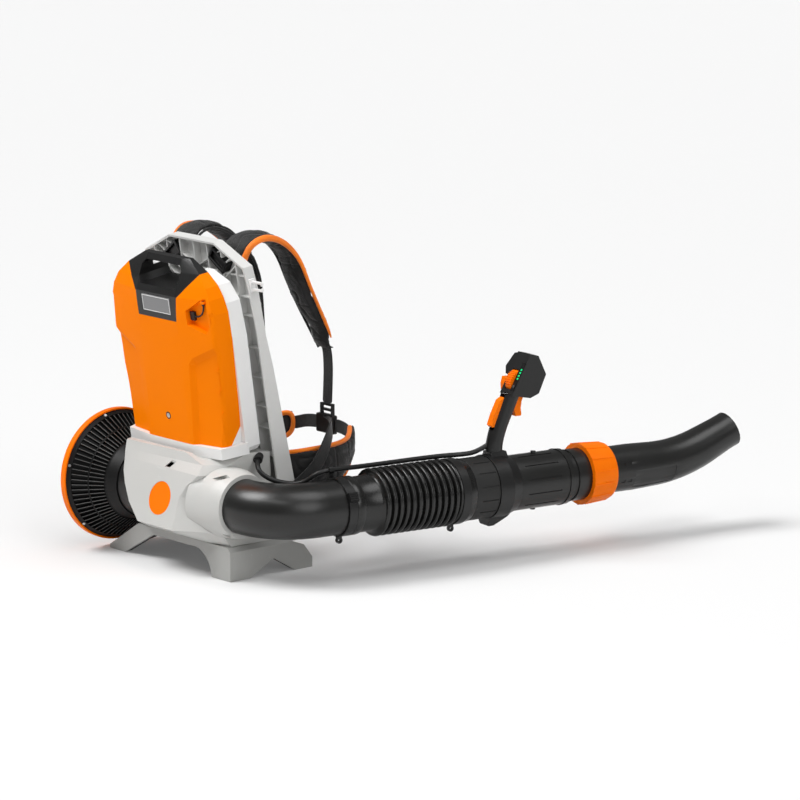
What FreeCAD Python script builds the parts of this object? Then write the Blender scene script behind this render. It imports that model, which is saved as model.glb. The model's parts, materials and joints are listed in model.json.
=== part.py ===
import FreeCAD, Part
import os
from math import atan2, cos, pi, radians, sin, sqrt, tan

# Backpack leaf blower, standing on its four feet. Sizes in millimetres.
# X is the wearer's right, Y is the way the wearer faces, Z is up. The model is
# laid out from the middle of the feet and moved to the part's origin at the end,
# which lies on the ground under the middle of the whole machine.

V = FreeCAD.Vector
X_AXIS, Y_AXIS, Z_AXIS = V(1, 0, 0), V(0, 1, 0), V(0, 0, 1)
ORIGIN_X, ORIGIN_Y = 118.6, 383.8

# General
FIT = 0.3                   # gap between pieces that meet
WALL = 3.0                  # wall of the moulded shells

# Stand
FOOT_HALF_X = 182.0         # outer edge of the feet
FOOT_LENGTH_X = 45.0
STAND_REAR_Y = -93.0
STAND_FRONT_Y = 99.0
FOOT_LENGTH_Y = 45.0
STAND_TOP_Z = 62.0
STAND_LEFT_TOP_X = -93.0    # where the splayed left legs leave the housing
STAND_RIGHT_TOP_X = 175.0
REAR_ARCH_Z = 48.0
SIDE_ARCH_Z = 29.0
STAND_WALL = 5.0
LINER_WALL = 8.0

# Fan line
FAN_Y = -60.0
FAN_Z = 135.5
FAN_RADIUS = 62.5
DUCT_BORE = 64.0            # radius of the duct round the fan
DUCT_WALL = 2.0
DUCT_LEFT_X = -118.0
DUCT_RIGHT_X = 92.0
HUB_RADIUS = 30.0
MOTOR_RADIUS = 27.0
SHAFT_RADIUS = 4.0
FAN_X = -62.0               # middle of the fan wheel
FAN_DEPTH = 34.0
BLADES = 9
VANES = 7

# Intake
CONE_NECK_RADIUS = 75.0
CONE_NECK_X = -135.0
CONE_END_RADIUS = 68.5
CONE_END_X = -112.0
CONE_RIM_RADIUS = 121.0
CONE_RIM_X = -198.0
RIM_OUTER_X = -213.0
RIM_RADIUS = 125.0
INTAKE_SLOTS = 72
CONE_SKIN = 2.5

# Outlet
COLLAR_X = 182.0            # outer face of the outlet collar
COLLAR_RADIUS = 58.5
COLLAR_ROOT_X = 100.0
COLLAR_ROOT_RADIUS = 71.5

# Air tube
TUBE_ANGLE = 8.0            # the tube points this far outward
ELBOW_RADIUS = 50.5
ELBOW_BEND = 95.0
ELBOW_RUN_IN = 11.0
ELBOW_RUN_OUT = 37.0
ELBOW_SPIGOT = 30.0         # how far the elbow goes into the collar
CUFF_START, CUFF_END = 2.0, 76.0
CUFF_RADIUS = 51.5
CUFF_BEAD_RADIUS, CUFF_BEAD_END = 54.0, 38.0
CUFF_WALL = 3.5
CLAMP_REAR_START, CLAMP_REAR_END = 3.0, 20.0
RIB_COUNT = 12
RIB_PITCH = 13.5
RIB_RADIUS = 62.5
VALLEY_RADIUS = 54.0
HOSE_WALL = 2.0
FRONT_CUFF_RADIUS = 59.0
FRONT_CUFF_END = 275.0
CLAMP_FRONT_START, CLAMP_FRONT_END = 244.0, 261.0
CLAMP_BAND = 2.5
PIPE_START = 244.0
PIPE_RADIUS = 52.0          # outside of the handle tube
PIPE_BORE = 46.0
SLEEVE_START, SLEEVE_END = 275.5, 326.0
SLEEVE_RADIUS = 58.0
COLLAR_START, COLLAR_END = 326.5, 378.0
CLAMP_COLLAR_RADIUS = 60.0
CLAMP_LOBE_RADIUS = 73.0
SEAM_START, SEAM_END = 487.0, 498.0
MUZZLE_RADIUS = 49.0
MUZZLE_END = 584.0
RING_START, RING_END = 538.0, 594.0
RING_REAR_RADIUS, RING_FRONT_RADIUS = 58.5, 55.5
RING_RIBS = 14
NOZZLE_START = 510.0
NOZZLE_RADIUS = 44.0
NOZZLE_WALL = 2.5
NOZZLE_STRAIGHT_END = 655.0
NOZZLE_BEND_START = 705.0
NOZZLE_BEND_RADIUS = 330.0
NOZZLE_BEND_ANGLE = 21.5
NOZZLE_BEND_STEPS = 4
NOZZLE_BEND_PIPE = 42.0     # outside radius where the bend starts
NOZZLE_TIP_RADIUS = 37.2    # and where it ends
NOZZLE_TIP_RUN = 68.0
NOZZLE_TIP_STRAIGHT = 22.0  # cylinder at the mouth that an extra nozzle slips over
MOUTH_RADIUS = 34.5

# Stand and housing, further sizes
SIDE_ARCH_Y = 9.0
STAND_SLOPE_Y = 30.0        # the side walls slope down in front of this
PANEL_SLOPE = 0.315         # forward lean of the rear panel
BADGE_CENTRE = (27.0, -132.6, 136.0)
BADGE_RADIUS = 31.0
BADGE_PROUD = 0.6

# Seat of the battery and frame
SEAT_LEAN = 9.0
SEAT_Y, SEAT_Z = 6.0, 237.0
HOUSING_FRONT = 15.5

# Intake details
SLOT_INNER_X, SLOT_RING_X, SLOT_OUTER_X = -137.5, -163.0, -190.5
SLOT_INNER_WIDTH, SLOT_OUTER_WIDTH = 4.2, 7.8
FIN_DEPTH = 8.0
GRILLE_RADIUS = 118.0
GRILLE_RINGS = (38.0, 54.0, 70.0, 86.0, 102.0, 115.8)
GRILLE_SPOKES = 16
INTAKE_SCREWS = 6
SCREW_X = -194.3

# Motor
RUNNING_FIT = 0.05
BEARING_RADIUS = 11.0
MOTOR_START_X = FAN_X + FAN_DEPTH / 2 + 4
MOTOR_END_X = MOTOR_START_X + 55

# Tube, further sizes
TUBE_X = (COLLAR_X + ELBOW_RUN_IN + ELBOW_BEND * cos(radians(TUBE_ANGLE))
          + ELBOW_RUN_OUT * sin(radians(TUBE_ANGLE)))
TUBE_Y = (FAN_Y + ELBOW_BEND * (1 - sin(radians(TUBE_ANGLE)))
          + ELBOW_RUN_OUT * cos(radians(TUBE_ANGLE)))
SLEEVE_GROOVES = 14
TUBE_GROOVES = 12
DETENTS = (610.0, 625.0)

# Control handle
SADDLE_TOP = 66.0
HEAD_REAR, HEAD_BOTTOM = 375.0, 169.0
HEAD_WIDTH = 41.0
TRIGGER_WIDTH = 14.0
LOCKOUT_WIDTH = 14.0
PIN_RADIUS = 1.5
DISPLAY_LEFT, DISPLAY_RIGHT = 8.5, 18.5
BUTTON_UP, BUTTON_RADIUS, BUTTON_PROUD = 18.0, 3.4, 1.2
SLIDER_LEFT, SLIDER_WIDTH, SLIDER_UP = -12.0, 18.0, 31.0
SLIDER_RADIUS, SLIDER_DEPTH = 22.0, 14.5
SIDE_LEVER_WIDTH = 14.0
SIDE_PIVOT = (14.0, -18.0)
SIDE_BOSS_RADIUS = 4.0
TRIGGER_PIN = (405.0, 171.0)
LOCKOUT_PIN = (370.0, 157.0)

# Battery
BATTERY_BOTTOM, BATTERY_TOP = -9.0, 352.0
BATTERY_SPLIT = 33.0        # where the white back meets the orange cover
FRONT_BOTTOM = 12.0
TRAY_FRONT = 91.0
INSERT_BOTTOM = 243.0
HAND_HALF, HAND_BOTTOM, HAND_TOP = 58.0, 301.0, 341.0
LABEL_HALF, LABEL_BOTTOM, LABEL_TOP, LABEL_DEPTH = 41.0, 253.0, 284.0, 79.0
SCREW_UP = 58.0
CAP_X, CAP_UP = 92.0, 256.0
CAP_PIVOT_X, CAP_PIVOT_UP = 126.0, 281.0
CAP_RECESS_Y = 66.0
CAP_PLUG_RADIUS = 4.0
CAP_POST_RADIUS = 2.4
DOCK_HALF, DOCK_REAR, DOCK_FRONT = 34.0, -60.0, -30.0
DOCK_BLADES = (-20.0, -7.0, 7.0, 20.0)

# Carrying frame
FRAME_TOP, FRAME_HALF, FRAME_BOTTOM = 367.0, 162.0, -225.0
FRAME_FOOT_Z = 50.0         # level lower end of the frame
FRAME_RIM = 16.0
FRAME_WALL = 4.0
FRAME_RIB_X = (-120.0, -80.0, -40.0, 0.0, 40.0, 80.0, 120.0)
FRAME_RIB_UP = (-30.0, 23.0, 64.0, 119.0, 175.0, 235.0, 271.0, 310.0)
ANCHOR_X, ANCHOR_UP, ANCHOR_HALF_X, ANCHOR_HALF_UP, ANCHOR_TILT = 68.0, 333.0, 24.0, 13.0, 36.0
HOOK_UP, HOOK_X, HOOK_REACH = 296.0, FRAME_HALF - 11, 34.0

# Harness: centre, width and thickness at each place along the soft pieces
PAD_PATH = [(76, 4, 567, 60, 13), (77, 8, 587, 64, 14), (79, 29, 605, 68, 16), (80, 58, 609, 68, 18),
            (80, 95, 595, 68, 18), (82, 127, 562, 70, 18), (86, 146, 512, 70, 17), (92, 166, 465, 68, 16),
            (98, 187, 420, 62, 14), (104, 199, 384, 48, 11)]
PAD_LEFT_MIDDLE = [(79, 133, 562, 70, 18), (78, 160, 512, 70, 17), (87, 173, 465, 68, 16)]
PAD_LEFT_PATH = PAD_PATH[:5] + PAD_LEFT_MIDDLE + PAD_PATH[8:]
BELT_PATH = [(FRAME_HALF - 50, 77.6, 181, 50, 13), (FRAME_HALF - 28, 90, 180, 60, 14),
             (FRAME_HALF - 10, 110, 177, 74, 16), (FRAME_HALF - 4, 146, 173, 86, 17),
             (FRAME_HALF - 10, 186, 176, 80, 16), (FRAME_HALF - 29, 224, 186.5, 61, 15),
             (FRAME_HALF - 53, 250, 196.5, 53, 14), (FRAME_HALF - 78, 271, 207, 46, 12)]
WEBBING_WIDTH, WEBBING_THICK = 25.0, 2.2
ADJUSTER_Z, ADJUSTER_HEIGHT = 272.0, 24.0
BUCKLE_HALF, BUCKLE_Y = 26.0, 284.0

# Cable
CABLE_RADIUS = 4.6
CLIP_SIDE, CLIP_START, CLIP_UP, CLIP_LENGTH = -25.0, 4.0, 64.0, 9.0


# Helpers

def outline(points):
    """A closed wire through a list of corner points."""
    return Part.makePolygon([V(*p) for p in points] + [V(*points[0])])


def prism(points, push):
    return Part.Face(outline(points)).extrude(V(*push))


def prism_along_x(points, x0, x1):
    return prism([(x0, y, z) for y, z in points], (x1 - x0, 0, 0))


def prism_along_y(points, y0, y1):
    return prism([(x, y0, z) for x, z in points], (0, y1 - y0, 0))


def prism_along_z(points, z0, z1):
    return prism([(x, y, z0) for x, y in points], (0, 0, z1 - z0))


def block(x0, x1, y0, y1, z0, z1):
    return Part.makeBox(x1 - x0, y1 - y0, z1 - z0, V(x0, y0, z0))


def rod(start, axis, radius, length):
    return Part.makeCylinder(radius, length, V(*start), axis)


def turned(profile, start, axis, side):
    """A full turn of a profile given as (distance along the axis, radius) pairs."""
    base = V(*start)
    points = [base + axis * a + side * r for a, r in profile]
    face = Part.Face(Part.makePolygon(points + [points[0]]))
    return face.revolve(base, axis, 360)


def turned_on_fan(profile):
    return turned([(x, r) for x, r in profile], (0, FAN_Y, FAN_Z), X_AXIS, Z_AXIS)


def turned_on_tube(profile):
    return turned(profile, (0, 0, 0), Y_AXIS, Z_AXIS)


def sleeve_on_tube(start, end, outer, inner):
    return turned_on_tube([(start, inner), (start, outer), (end, outer), (end, inner)])


def union(first, *others):
    flat = [shape for shape in others]
    return first.multiFuse(flat).removeSplitter() if flat else first


def group(*solids):
    return Part.makeCompound(list(solids))


def inset(points, distance):
    """The corners of a convex outline moved inward by a distance from each side."""
    centre_x = sum(p[0] for p in points) / len(points)
    centre_y = sum(p[1] for p in points) / len(points)
    lines = []
    for (x0, y0), (x1, y1) in zip(points, points[1:] + points[:1]):
        normal_x, normal_y = y1 - y0, x0 - x1
        size = sqrt(normal_x ** 2 + normal_y ** 2)
        normal_x, normal_y = normal_x / size, normal_y / size
        offset = normal_x * x0 + normal_y * y0
        if normal_x * centre_x + normal_y * centre_y > offset:
            normal_x, normal_y, offset = -normal_x, -normal_y, -offset
        lines.append((normal_x, normal_y, offset - distance))
    moved = []
    for (a0, b0, c0), (a1, b1, c1) in zip(lines[-1:] + lines[:-1], lines):
        scale = a0 * b1 - a1 * b0
        moved.append(((c0 * b1 - c1 * b0) / scale, (a0 * c1 - a1 * c0) / scale))
    return moved


def mirrored(points):
    """Both halves of an outline from the corners of its right half, top first."""
    return points + [(-x, y) for x, y in reversed(points)]


def stacked(levels, ruled=True):
    """A solid through outlines that each lie at one height."""
    return Part.makeLoft([outline([(x, y, z) for x, y in points]) for z, points in levels], True, ruled)


def on_seat(shape):
    """From the leaning seat of the battery and frame to the machine."""
    moved = shape.copy()
    moved.rotate(V(0, 0, 0), X_AXIS, SEAT_LEAN)
    moved.translate(V(0, SEAT_Y, SEAT_Z))
    return moved


def on_tube(shape):
    """From the air tube, which runs along Y, to the machine."""
    moved = shape.copy()
    moved.rotate(V(0, 0, 0), Z_AXIS, -TUBE_ANGLE)
    moved.translate(V(TUBE_X, TUBE_Y, FAN_Z))
    return moved


def mirror_x(shape):
    return shape.mirror(V(0, 0, 0), X_AXIS)


def rounded_route(points):
    """Straight runs joined by tangent arcs, each as large as its two runs allow."""
    corners = [V(*p) for p in points]
    edges, radii = [], []
    here = corners[0]
    for before, corner, after in zip(corners, corners[1:], corners[2:]):
        back, on = (before - corner), (after - corner)
        run = min(back.Length, on.Length)
        back.normalize()
        on.normalize()
        turn = pi - back.getAngle(on)
        cut = 0.45 * run
        radii.append(cut / tan(turn / 2))
        start, end = corner + back * cut, corner + on * cut
        middle_way = back + on
        middle_way.normalize()
        middle = corner + middle_way * (radii[-1] / cos(turn / 2) - radii[-1])
        edges.append(Part.LineSegment(here, start).toShape())
        edges.append(Part.Arc(start, middle, end).toShape())
        here = end
    edges.append(Part.LineSegment(here, corners[-1]).toShape())
    return Part.Wire(edges), radii


def cord(points, radius):
    """A round cable along a route."""
    route, radii = rounded_route(points)
    start = V(*points[0])
    way = V(*points[1]) - start
    ring = Part.Wire(Part.makeCircle(radius, start, way))
    solid = route.makePipeShell([ring], True, False)
    print("cable", round(route.Length, 1), "mm long, radii", [round(r, 1) for r in radii],
          "volume ratio", round(solid.Volume / (pi * radius ** 2 * route.Length), 4))
    return solid


def pad_outline(centre, across, out, width, thickness, crown):
    """A pillow-shaped section: short flat sides and a crowned front and back."""
    c, u, n = V(*centre), V(*across).normalize(), V(*out).normalize()
    half, side = width / 2, thickness / 2 - crown
    a, b = c - u * half - n * side, c + u * half - n * side
    d, e = c + u * half + n * side, c - u * half + n * side
    low, high = c - n * (thickness / 2), c + n * (thickness / 2)
    edges = [Part.Arc(a, low, b).toShape(), Part.LineSegment(b, d).toShape(),
             Part.Arc(d, high, e).toShape(), Part.LineSegment(e, a).toShape()]
    return Part.Wire(edges)


def padded(sections, ruled=False):
    """A soft piece lofted through pillow-shaped sections."""
    return Part.makeLoft([pad_outline(*s) for s in sections], True, ruled)


def arch_cut():
    """The opening under the rear and front walls of the stand, run past both."""
    foot_left = -FOOT_HALF_X + FOOT_LENGTH_X
    foot_right = FOOT_HALF_X - FOOT_LENGTH_X - 10
    top_left, top_right = V(-48, 0, REAR_ARCH_Z), V(64, 0, REAR_ARCH_Z)
    start, end = V(foot_left, 0, -1), V(foot_right, 0, -1)
    edges = [Part.LineSegment(start, top_left).toShape(), Part.LineSegment(top_left, top_right).toShape(),
             Part.Arc(top_right, V(foot_right - 17, 0, REAR_ARCH_Z - 13), end).toShape(),
             Part.LineSegment(end, start).toShape()]
    face = Part.Face(Part.Wire(edges))
    face.translate(V(0, STAND_REAR_Y - 1, 0))
    return face.extrude(V(0, STAND_FRONT_Y - STAND_REAR_Y + 2, 0))


def side_cut():
    """The opening under the side walls of the stand."""
    corners = [(STAND_REAR_Y + FOOT_LENGTH_Y, -1), (SIDE_ARCH_Y, SIDE_ARCH_Z),
               (STAND_FRONT_Y - FOOT_LENGTH_Y + 6, -1)]
    return prism_along_x(corners, -FOOT_HALF_X - 1, FOOT_HALF_X + 1)


def stand_body(skin, drop):
    """The stand's outer form, or the form left inside a skin of a given thickness."""
    rear = [(-FOOT_HALF_X + skin, -drop), (FOOT_HALF_X - skin, -drop),
            (FOOT_HALF_X - skin, STAND_TOP_Z - 8 - skin), (STAND_RIGHT_TOP_X - skin, STAND_TOP_Z - skin),
            (STAND_LEFT_TOP_X + skin / 2, STAND_TOP_Z - skin), (-FOOT_HALF_X + skin, 7 - skin / 2)]
    side = [(STAND_REAR_Y + skin, -drop), (STAND_FRONT_Y - skin, -drop), (STAND_FRONT_Y - skin, 19),
            (STAND_FRONT_Y - 20 - skin, 45 - skin), (STAND_SLOPE_Y, STAND_TOP_Z - skin),
            (STAND_REAR_Y + skin, STAND_TOP_Z - skin)]
    from_behind = prism_along_y(rear, STAND_REAR_Y + skin, STAND_FRONT_Y - skin)
    from_side = prism_along_x(side, -FOOT_HALF_X + skin, FOOT_HALF_X - skin)
    return from_behind.common(from_side)


def stand_frame():
    """Light grey skirt on four splayed feet."""
    shell = stand_body(0, 0).cut(stand_body(STAND_WALL, 1))
    return shell.cut(arch_cut()).cut(side_cut())


def stand_liner():
    """Dark inner moulding that closes the insides of the legs."""
    outer = stand_body(STAND_WALL + FIT, 0).cut(block(-300, 300, -300, 300, -5, 1.5))
    inner = stand_body(STAND_WALL + FIT + LINER_WALL, 1)
    return outer.cut(inner).cut(arch_cut()).cut(side_cut())


def housing_front(z):
    """How far forward the housing reaches at a height, along the leaning seat."""
    lean = radians(SEAT_LEAN)
    along = (z - SEAT_Z - HOUSING_FRONT * sin(lean)) / cos(lean)
    return SEAT_Y + HOUSING_FRONT * cos(lean) - along * sin(lean)


def housing_level(z, left, left_rear, panel_left, panel_right, flank, right):
    """One level of the housing, from the front left corner round the rear."""
    return z, [(left, housing_front(z)), left_rear, panel_left, panel_right, flank, (right, housing_front(z))]


def housing_levels():
    return [
        housing_level(STAND_TOP_Z + FIT, -93, (-93, -86), (-62, -93), (112, -93), (172, -82), 174),
        housing_level(87, -102, (-100, -84), (-22, -148), (80, -148), (160, -96), 172),
        housing_level(117, -108, (-106, -84), (-60, -139), (82, -139), (134, -104), 160),
        housing_level(146, -112, (-110, -84), (-82, -131), (82, -131), (126, -100), 150),
        housing_level(168, -114, (-112, -86), (-95, -124), (94, -124), (124, -98), 144),
        housing_level(189, -115, (-113, -88), (-100, -117), (118, -116), (130, -88), 148),
        housing_level(206, -115, (-114, -88), (-104, -112), (112, -100), (138, -56), 150),
        housing_level(222, -115, (-114, -88), (-106, -107), (60, -98), (143, -25), 153)]


def battery_space(grow):
    """The room that the battery takes, for the recess in the housing and frame."""
    return block(-158 - grow, 158 + grow, -98 - grow, 2 + grow, BATTERY_BOTTOM - grow, 420)


def fan_housing():
    """Light grey housing round the fan, with the battery's recess on top."""
    levels = housing_levels()
    outer = stacked(levels)
    core = []
    for index, (z, points) in enumerate(levels[:-1]):
        core.append((z + (WALL if index == 0 else 0), inset(points, WALL)))
    shell = outer.cut(stacked(core))
    shell = shell.cut(on_seat(battery_space(FIT)))
    neck = rod((-200, FAN_Y, FAN_Z), X_AXIS, DUCT_BORE + DUCT_WALL + FIT, 150)
    cone = rod((-200, FAN_Y, FAN_Z), X_AXIS, CONE_END_RADIUS + 1.5, 200 + CONE_END_X + FIT)
    outlet = rod((20, FAN_Y, FAN_Z), X_AXIS, ELBOW_RADIUS + 8, 200)
    shell = shell.cut(neck).cut(cone).cut(outlet).cut(collar_body(FIT))
    seat = V(*BADGE_CENTRE) - badge_axis() * 2
    shell = shell.cut(Part.makeCylinder(BADGE_RADIUS + 0.1, 4, seat, badge_axis()))
    return shell.cut(on_seat(dock_body(0.1)))


def badge_axis():
    """The way the rear panel faces, which leans with the panel."""
    slope = atan2(PANEL_SLOPE, 1.0)
    return V(0, cos(slope), -sin(slope))


def badge_disc():
    """Plain orange disc on the rear panel."""
    way = badge_axis()
    start = V(*BADGE_CENTRE) - way * BADGE_PROUD
    return Part.makeCylinder(BADGE_RADIUS, BADGE_PROUD + 2.0, start, way)


def collar_profile(grow):
    return [(COLLAR_ROOT_X, 0), (COLLAR_ROOT_X, COLLAR_ROOT_RADIUS + grow),
            (COLLAR_ROOT_X + 22, COLLAR_ROOT_RADIUS - 5 + grow), (COLLAR_X - 26, COLLAR_RADIUS + 7 + grow),
            (COLLAR_X, COLLAR_RADIUS + grow), (COLLAR_X, 0)]


def collar_body(grow):
    return turned_on_fan(collar_profile(grow))


def outlet_collar():
    """White flared collar that the elbow turns in."""
    bore = rod((COLLAR_ROOT_X - 1, FAN_Y, FAN_Z), X_AXIS, ELBOW_RADIUS + FIT, COLLAR_X - COLLAR_ROOT_X + 2)
    return collar_body(0).cut(bore)


# Intake and fan

def cone_radius(x, drop=0.0):
    """Radius of the intake cone's outer face at a place along the fan line."""
    share = (x - CONE_NECK_X) / (CONE_RIM_X - CONE_NECK_X)
    return CONE_NECK_RADIUS + share * (CONE_RIM_RADIUS - CONE_NECK_RADIUS) - drop


def intake_cone():
    """Black slotted funnel between the housing and the orange rim."""
    lip = CONE_RIM_X - 4
    inner = CONE_SKIN + 0.5
    seat = DUCT_BORE + DUCT_WALL + 0.1
    skin = turned_on_fan([(CONE_END_X, seat), (CONE_END_X, CONE_END_RADIUS), (CONE_NECK_X, CONE_NECK_RADIUS),
                          (CONE_RIM_X, CONE_RIM_RADIUS), (lip, CONE_RIM_RADIUS),
                          (lip, CONE_RIM_RADIUS - inner), (CONE_RIM_X, CONE_RIM_RADIUS - inner),
                          (SLOT_OUTER_X, cone_radius(SLOT_OUTER_X, FIN_DEPTH)),
                          (CONE_NECK_X, CONE_NECK_RADIUS - FIN_DEPTH), (DUCT_LEFT_X, seat)])
    slots = []
    angle = atan2(CONE_RIM_RADIUS - CONE_NECK_RADIUS, CONE_NECK_X - CONE_RIM_X)
    whole = SLOT_INNER_X - SLOT_OUTER_X
    for start, end in ((SLOT_INNER_X, SLOT_RING_X + 1.2), (SLOT_RING_X - 1.2, SLOT_OUTER_X)):
        length = (start - end) / cos(angle)
        widths = []
        for x in (start, end):
            share = (SLOT_INNER_X - x) / whole
            widths.append((SLOT_INNER_WIDTH + share * (SLOT_OUTER_WIDTH - SLOT_INNER_WIDTH)) / 2)
        for index in range(INTAKE_SLOTS):
            outline = [(0, -widths[0]), (0, widths[0]), (-length, widths[1]), (-length, -widths[1])]
            slot = prism_along_z(outline, -FIN_DEPTH - 4, 4)
            slot.rotate(V(0, 0, 0), Y_AXIS, angle * 180 / pi)
            slot.translate(V(start, 0, cone_radius(start)))
            slot.rotate(V(0, 0, 0), X_AXIS, 360 * index / INTAKE_SLOTS)
            slot.translate(V(0, FAN_Y, FAN_Z))
            slots.append(slot)
    return skin.cut(Part.makeCompound(slots)).cut(intake_screws())


def intake_outer_grille():
    """Dished black grille across the mouth: rings and spokes."""
    depth = 7.0
    hub = rod((RIM_OUTER_X + 5, FAN_Y, FAN_Z), X_AXIS, 24, 3)
    pieces = [hub]
    for radius in GRILLE_RINGS:
        lift = depth * (radius / GRILLE_RADIUS) ** 2
        x = RIM_OUTER_X + 5 + lift
        pieces.append(turned_on_fan([(x, radius), (x, radius + 2.2), (x + 3, radius + 2.2), (x + 3, radius)]))
    spokes = []
    for index in range(GRILLE_SPOKES):
        side = [(RIM_OUTER_X + 5, 22), (RIM_OUTER_X + 8, 22), (RIM_OUTER_X + 8 + depth, GRILLE_RADIUS),
                (RIM_OUTER_X + 5 + depth, GRILLE_RADIUS)]
        spoke = prism_along_y(side, -1.2, 1.2)
        spoke.rotate(V(0, 0, 0), X_AXIS, 360 * index / GRILLE_SPOKES)
        spoke.translate(V(0, FAN_Y, FAN_Z))
        spokes.append(spoke)
    return union(pieces[0], *(pieces[1:] + spokes))


def intake_rim_ring():
    """Orange ring that clamps the grille on the funnel."""
    seat = CONE_RIM_RADIUS + FIT
    return turned_on_fan([(RIM_OUTER_X, GRILLE_RADIUS - 3), (RIM_OUTER_X, RIM_RADIUS - 3),
                          (RIM_OUTER_X + 4, RIM_RADIUS), (CONE_RIM_X + 1, RIM_RADIUS), (CONE_RIM_X + 1, seat),
                          (CONE_RIM_X - 4 - FIT, seat), (CONE_RIM_X - 4 - FIT, GRILLE_RADIUS + FIT),
                          (RIM_OUTER_X + 4.5, GRILLE_RADIUS + FIT), (RIM_OUTER_X + 4.5, GRILLE_RADIUS - 3)])


def intake_screws():
    """Screws round the funnel's rim."""
    screws = []
    radius = cone_radius(SCREW_X)
    for index in range(INTAKE_SCREWS):
        screw = rod((0, 0, radius - 1.5), Z_AXIS, 2.6, 3)
        angle = atan2(CONE_RIM_RADIUS - CONE_NECK_RADIUS, CONE_NECK_X - CONE_RIM_X)
        screw.rotate(V(0, 0, radius), Y_AXIS, angle * 180 / pi)
        screw.translate(V(SCREW_X, 0, 0))
        screw.rotate(V(0, 0, 0), X_AXIS, 15 + 360 * index / INTAKE_SCREWS)
        screw.translate(V(0, FAN_Y, FAN_Z))
        screws.append(screw)
    return group(*screws)


def fan_duct():
    """Round duct that carries the fan and leads the air to the collar."""
    outer = DUCT_BORE + DUCT_WALL
    narrow = ELBOW_RADIUS + 1
    return turned_on_fan([(DUCT_LEFT_X + FIT, DUCT_BORE), (DUCT_LEFT_X + FIT, outer), (20, outer),
                          (DUCT_RIGHT_X, narrow + DUCT_WALL), (COLLAR_ROOT_X - FIT, narrow + DUCT_WALL),
                          (COLLAR_ROOT_X - FIT, narrow), (DUCT_RIGHT_X, narrow), (20, DUCT_BORE)])


def fan_blade(index):
    blade = prism([(-FAN_DEPTH / 2, -7, HUB_RADIUS - 2), (-FAN_DEPTH / 2 + 2.4, -9, HUB_RADIUS - 2),
                   (FAN_DEPTH / 2, 7, HUB_RADIUS - 2), (FAN_DEPTH / 2 - 2.4, 9, HUB_RADIUS - 2)],
                  (0, 0, FAN_RADIUS - HUB_RADIUS + 6))
    blade.rotate(V(0, 0, 0), X_AXIS, 360 * index / BLADES)
    blade.translate(V(FAN_X, FAN_Y, FAN_Z))
    return blade


def fan_rotor():
    """Axial fan wheel: hub with a rounded nose and blades."""
    half = FAN_DEPTH / 2 + 2
    hub = turned_on_fan([(FAN_X - half - 22, 0), (FAN_X - half - 20, 8), (FAN_X - half - 12, 19),
                         (FAN_X - half, HUB_RADIUS), (FAN_X + half, HUB_RADIUS),
                         (FAN_X + half, HUB_RADIUS - 3), (FAN_X - half + 3, HUB_RADIUS - 3),
                         (FAN_X - half + 3, 10), (FAN_X + half, 10),
                         (FAN_X + half, SHAFT_RADIUS), (FAN_X - half, SHAFT_RADIUS), (FAN_X - half, 0)])
    wheel = union(hub, *[fan_blade(index) for index in range(BLADES)])
    tip = turned_on_fan([(-200, 0), (-200, FAN_RADIUS), (100, FAN_RADIUS), (100, 0)])
    return wheel.common(tip)


def motor_shaft():
    """Shaft with the motor's magnet rotor on it."""
    start = FAN_X - FAN_DEPTH / 2 - 2
    shaft = rod((start, FAN_Y, FAN_Z), X_AXIS, SHAFT_RADIUS, MOTOR_END_X - 6 - start)
    magnets = rod((MOTOR_START_X + 17, FAN_Y, FAN_Z), X_AXIS, 16.4, MOTOR_END_X - MOTOR_START_X - 37)
    return shaft.fuse(magnets)


def motor_bearings():
    rings = []
    for x in (MOTOR_START_X + 4, MOTOR_END_X - 14):
        rings.append(turned_on_fan([(x, SHAFT_RADIUS + 0.05), (x, BEARING_RADIUS), (x + 7, BEARING_RADIUS),
                                    (x + 7, SHAFT_RADIUS + 0.05)]))
    return group(*rings)


def motor_mount():
    """Motor housing on guide vanes, with a tapered tail, fixed in the duct."""
    can = turned_on_fan([(MOTOR_START_X, BEARING_RADIUS), (MOTOR_START_X, HUB_RADIUS),
                         (MOTOR_END_X, HUB_RADIUS), (MOTOR_END_X + 30, 14), (MOTOR_END_X + 42, 0),
                         (MOTOR_END_X - 4, 0), (MOTOR_END_X - 4, BEARING_RADIUS),
                         (MOTOR_END_X - 14, BEARING_RADIUS), (MOTOR_END_X - 16, MOTOR_RADIUS),
                         (MOTOR_START_X + 13, MOTOR_RADIUS), (MOTOR_START_X + 11, BEARING_RADIUS)])
    vanes = []
    for index in range(VANES):
        vane = block(MOTOR_START_X + 6, MOTOR_END_X - 8, -1.5, 1.5, HUB_RADIUS - 2, DUCT_BORE + 2)
        vane.rotate(V(0, 0, 0), X_AXIS, 360 * (index + 0.5) / VANES)
        vane.translate(V(0, FAN_Y, FAN_Z))
        vanes.append(vane)
    whole = union(can, *vanes)
    limit = turned_on_fan([(-300, 0), (-300, DUCT_BORE - 0.05), (20, DUCT_BORE - 0.05), (20, 0)])
    tail = rod((19, FAN_Y, FAN_Z), X_AXIS, HUB_RADIUS + 1, 120)
    return whole.common(limit.fuse(tail))


def motor_stator():
    """Laminated ring with its windings, inside the motor housing."""
    return turned_on_fan([(MOTOR_START_X + 16, 17), (MOTOR_START_X + 16, MOTOR_RADIUS - 0.1),
                          (MOTOR_END_X - 19, MOTOR_RADIUS - 0.1), (MOTOR_END_X - 19, 17)])


def control_board():
    """Controller board on the housing's inner floor."""
    floor = STAND_TOP_Z + FIT + WALL + 0.1
    board = block(-70, 80, 2, 40, floor, floor + 2)
    sink = block(-40, 50, 12, 36, floor + 2, floor + 10)
    fins = [block(x, x + 3, 12, 36, floor + 10, floor + 24) for x in range(-40, 48, 10)]
    return union(board, sink, *fins)


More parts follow.
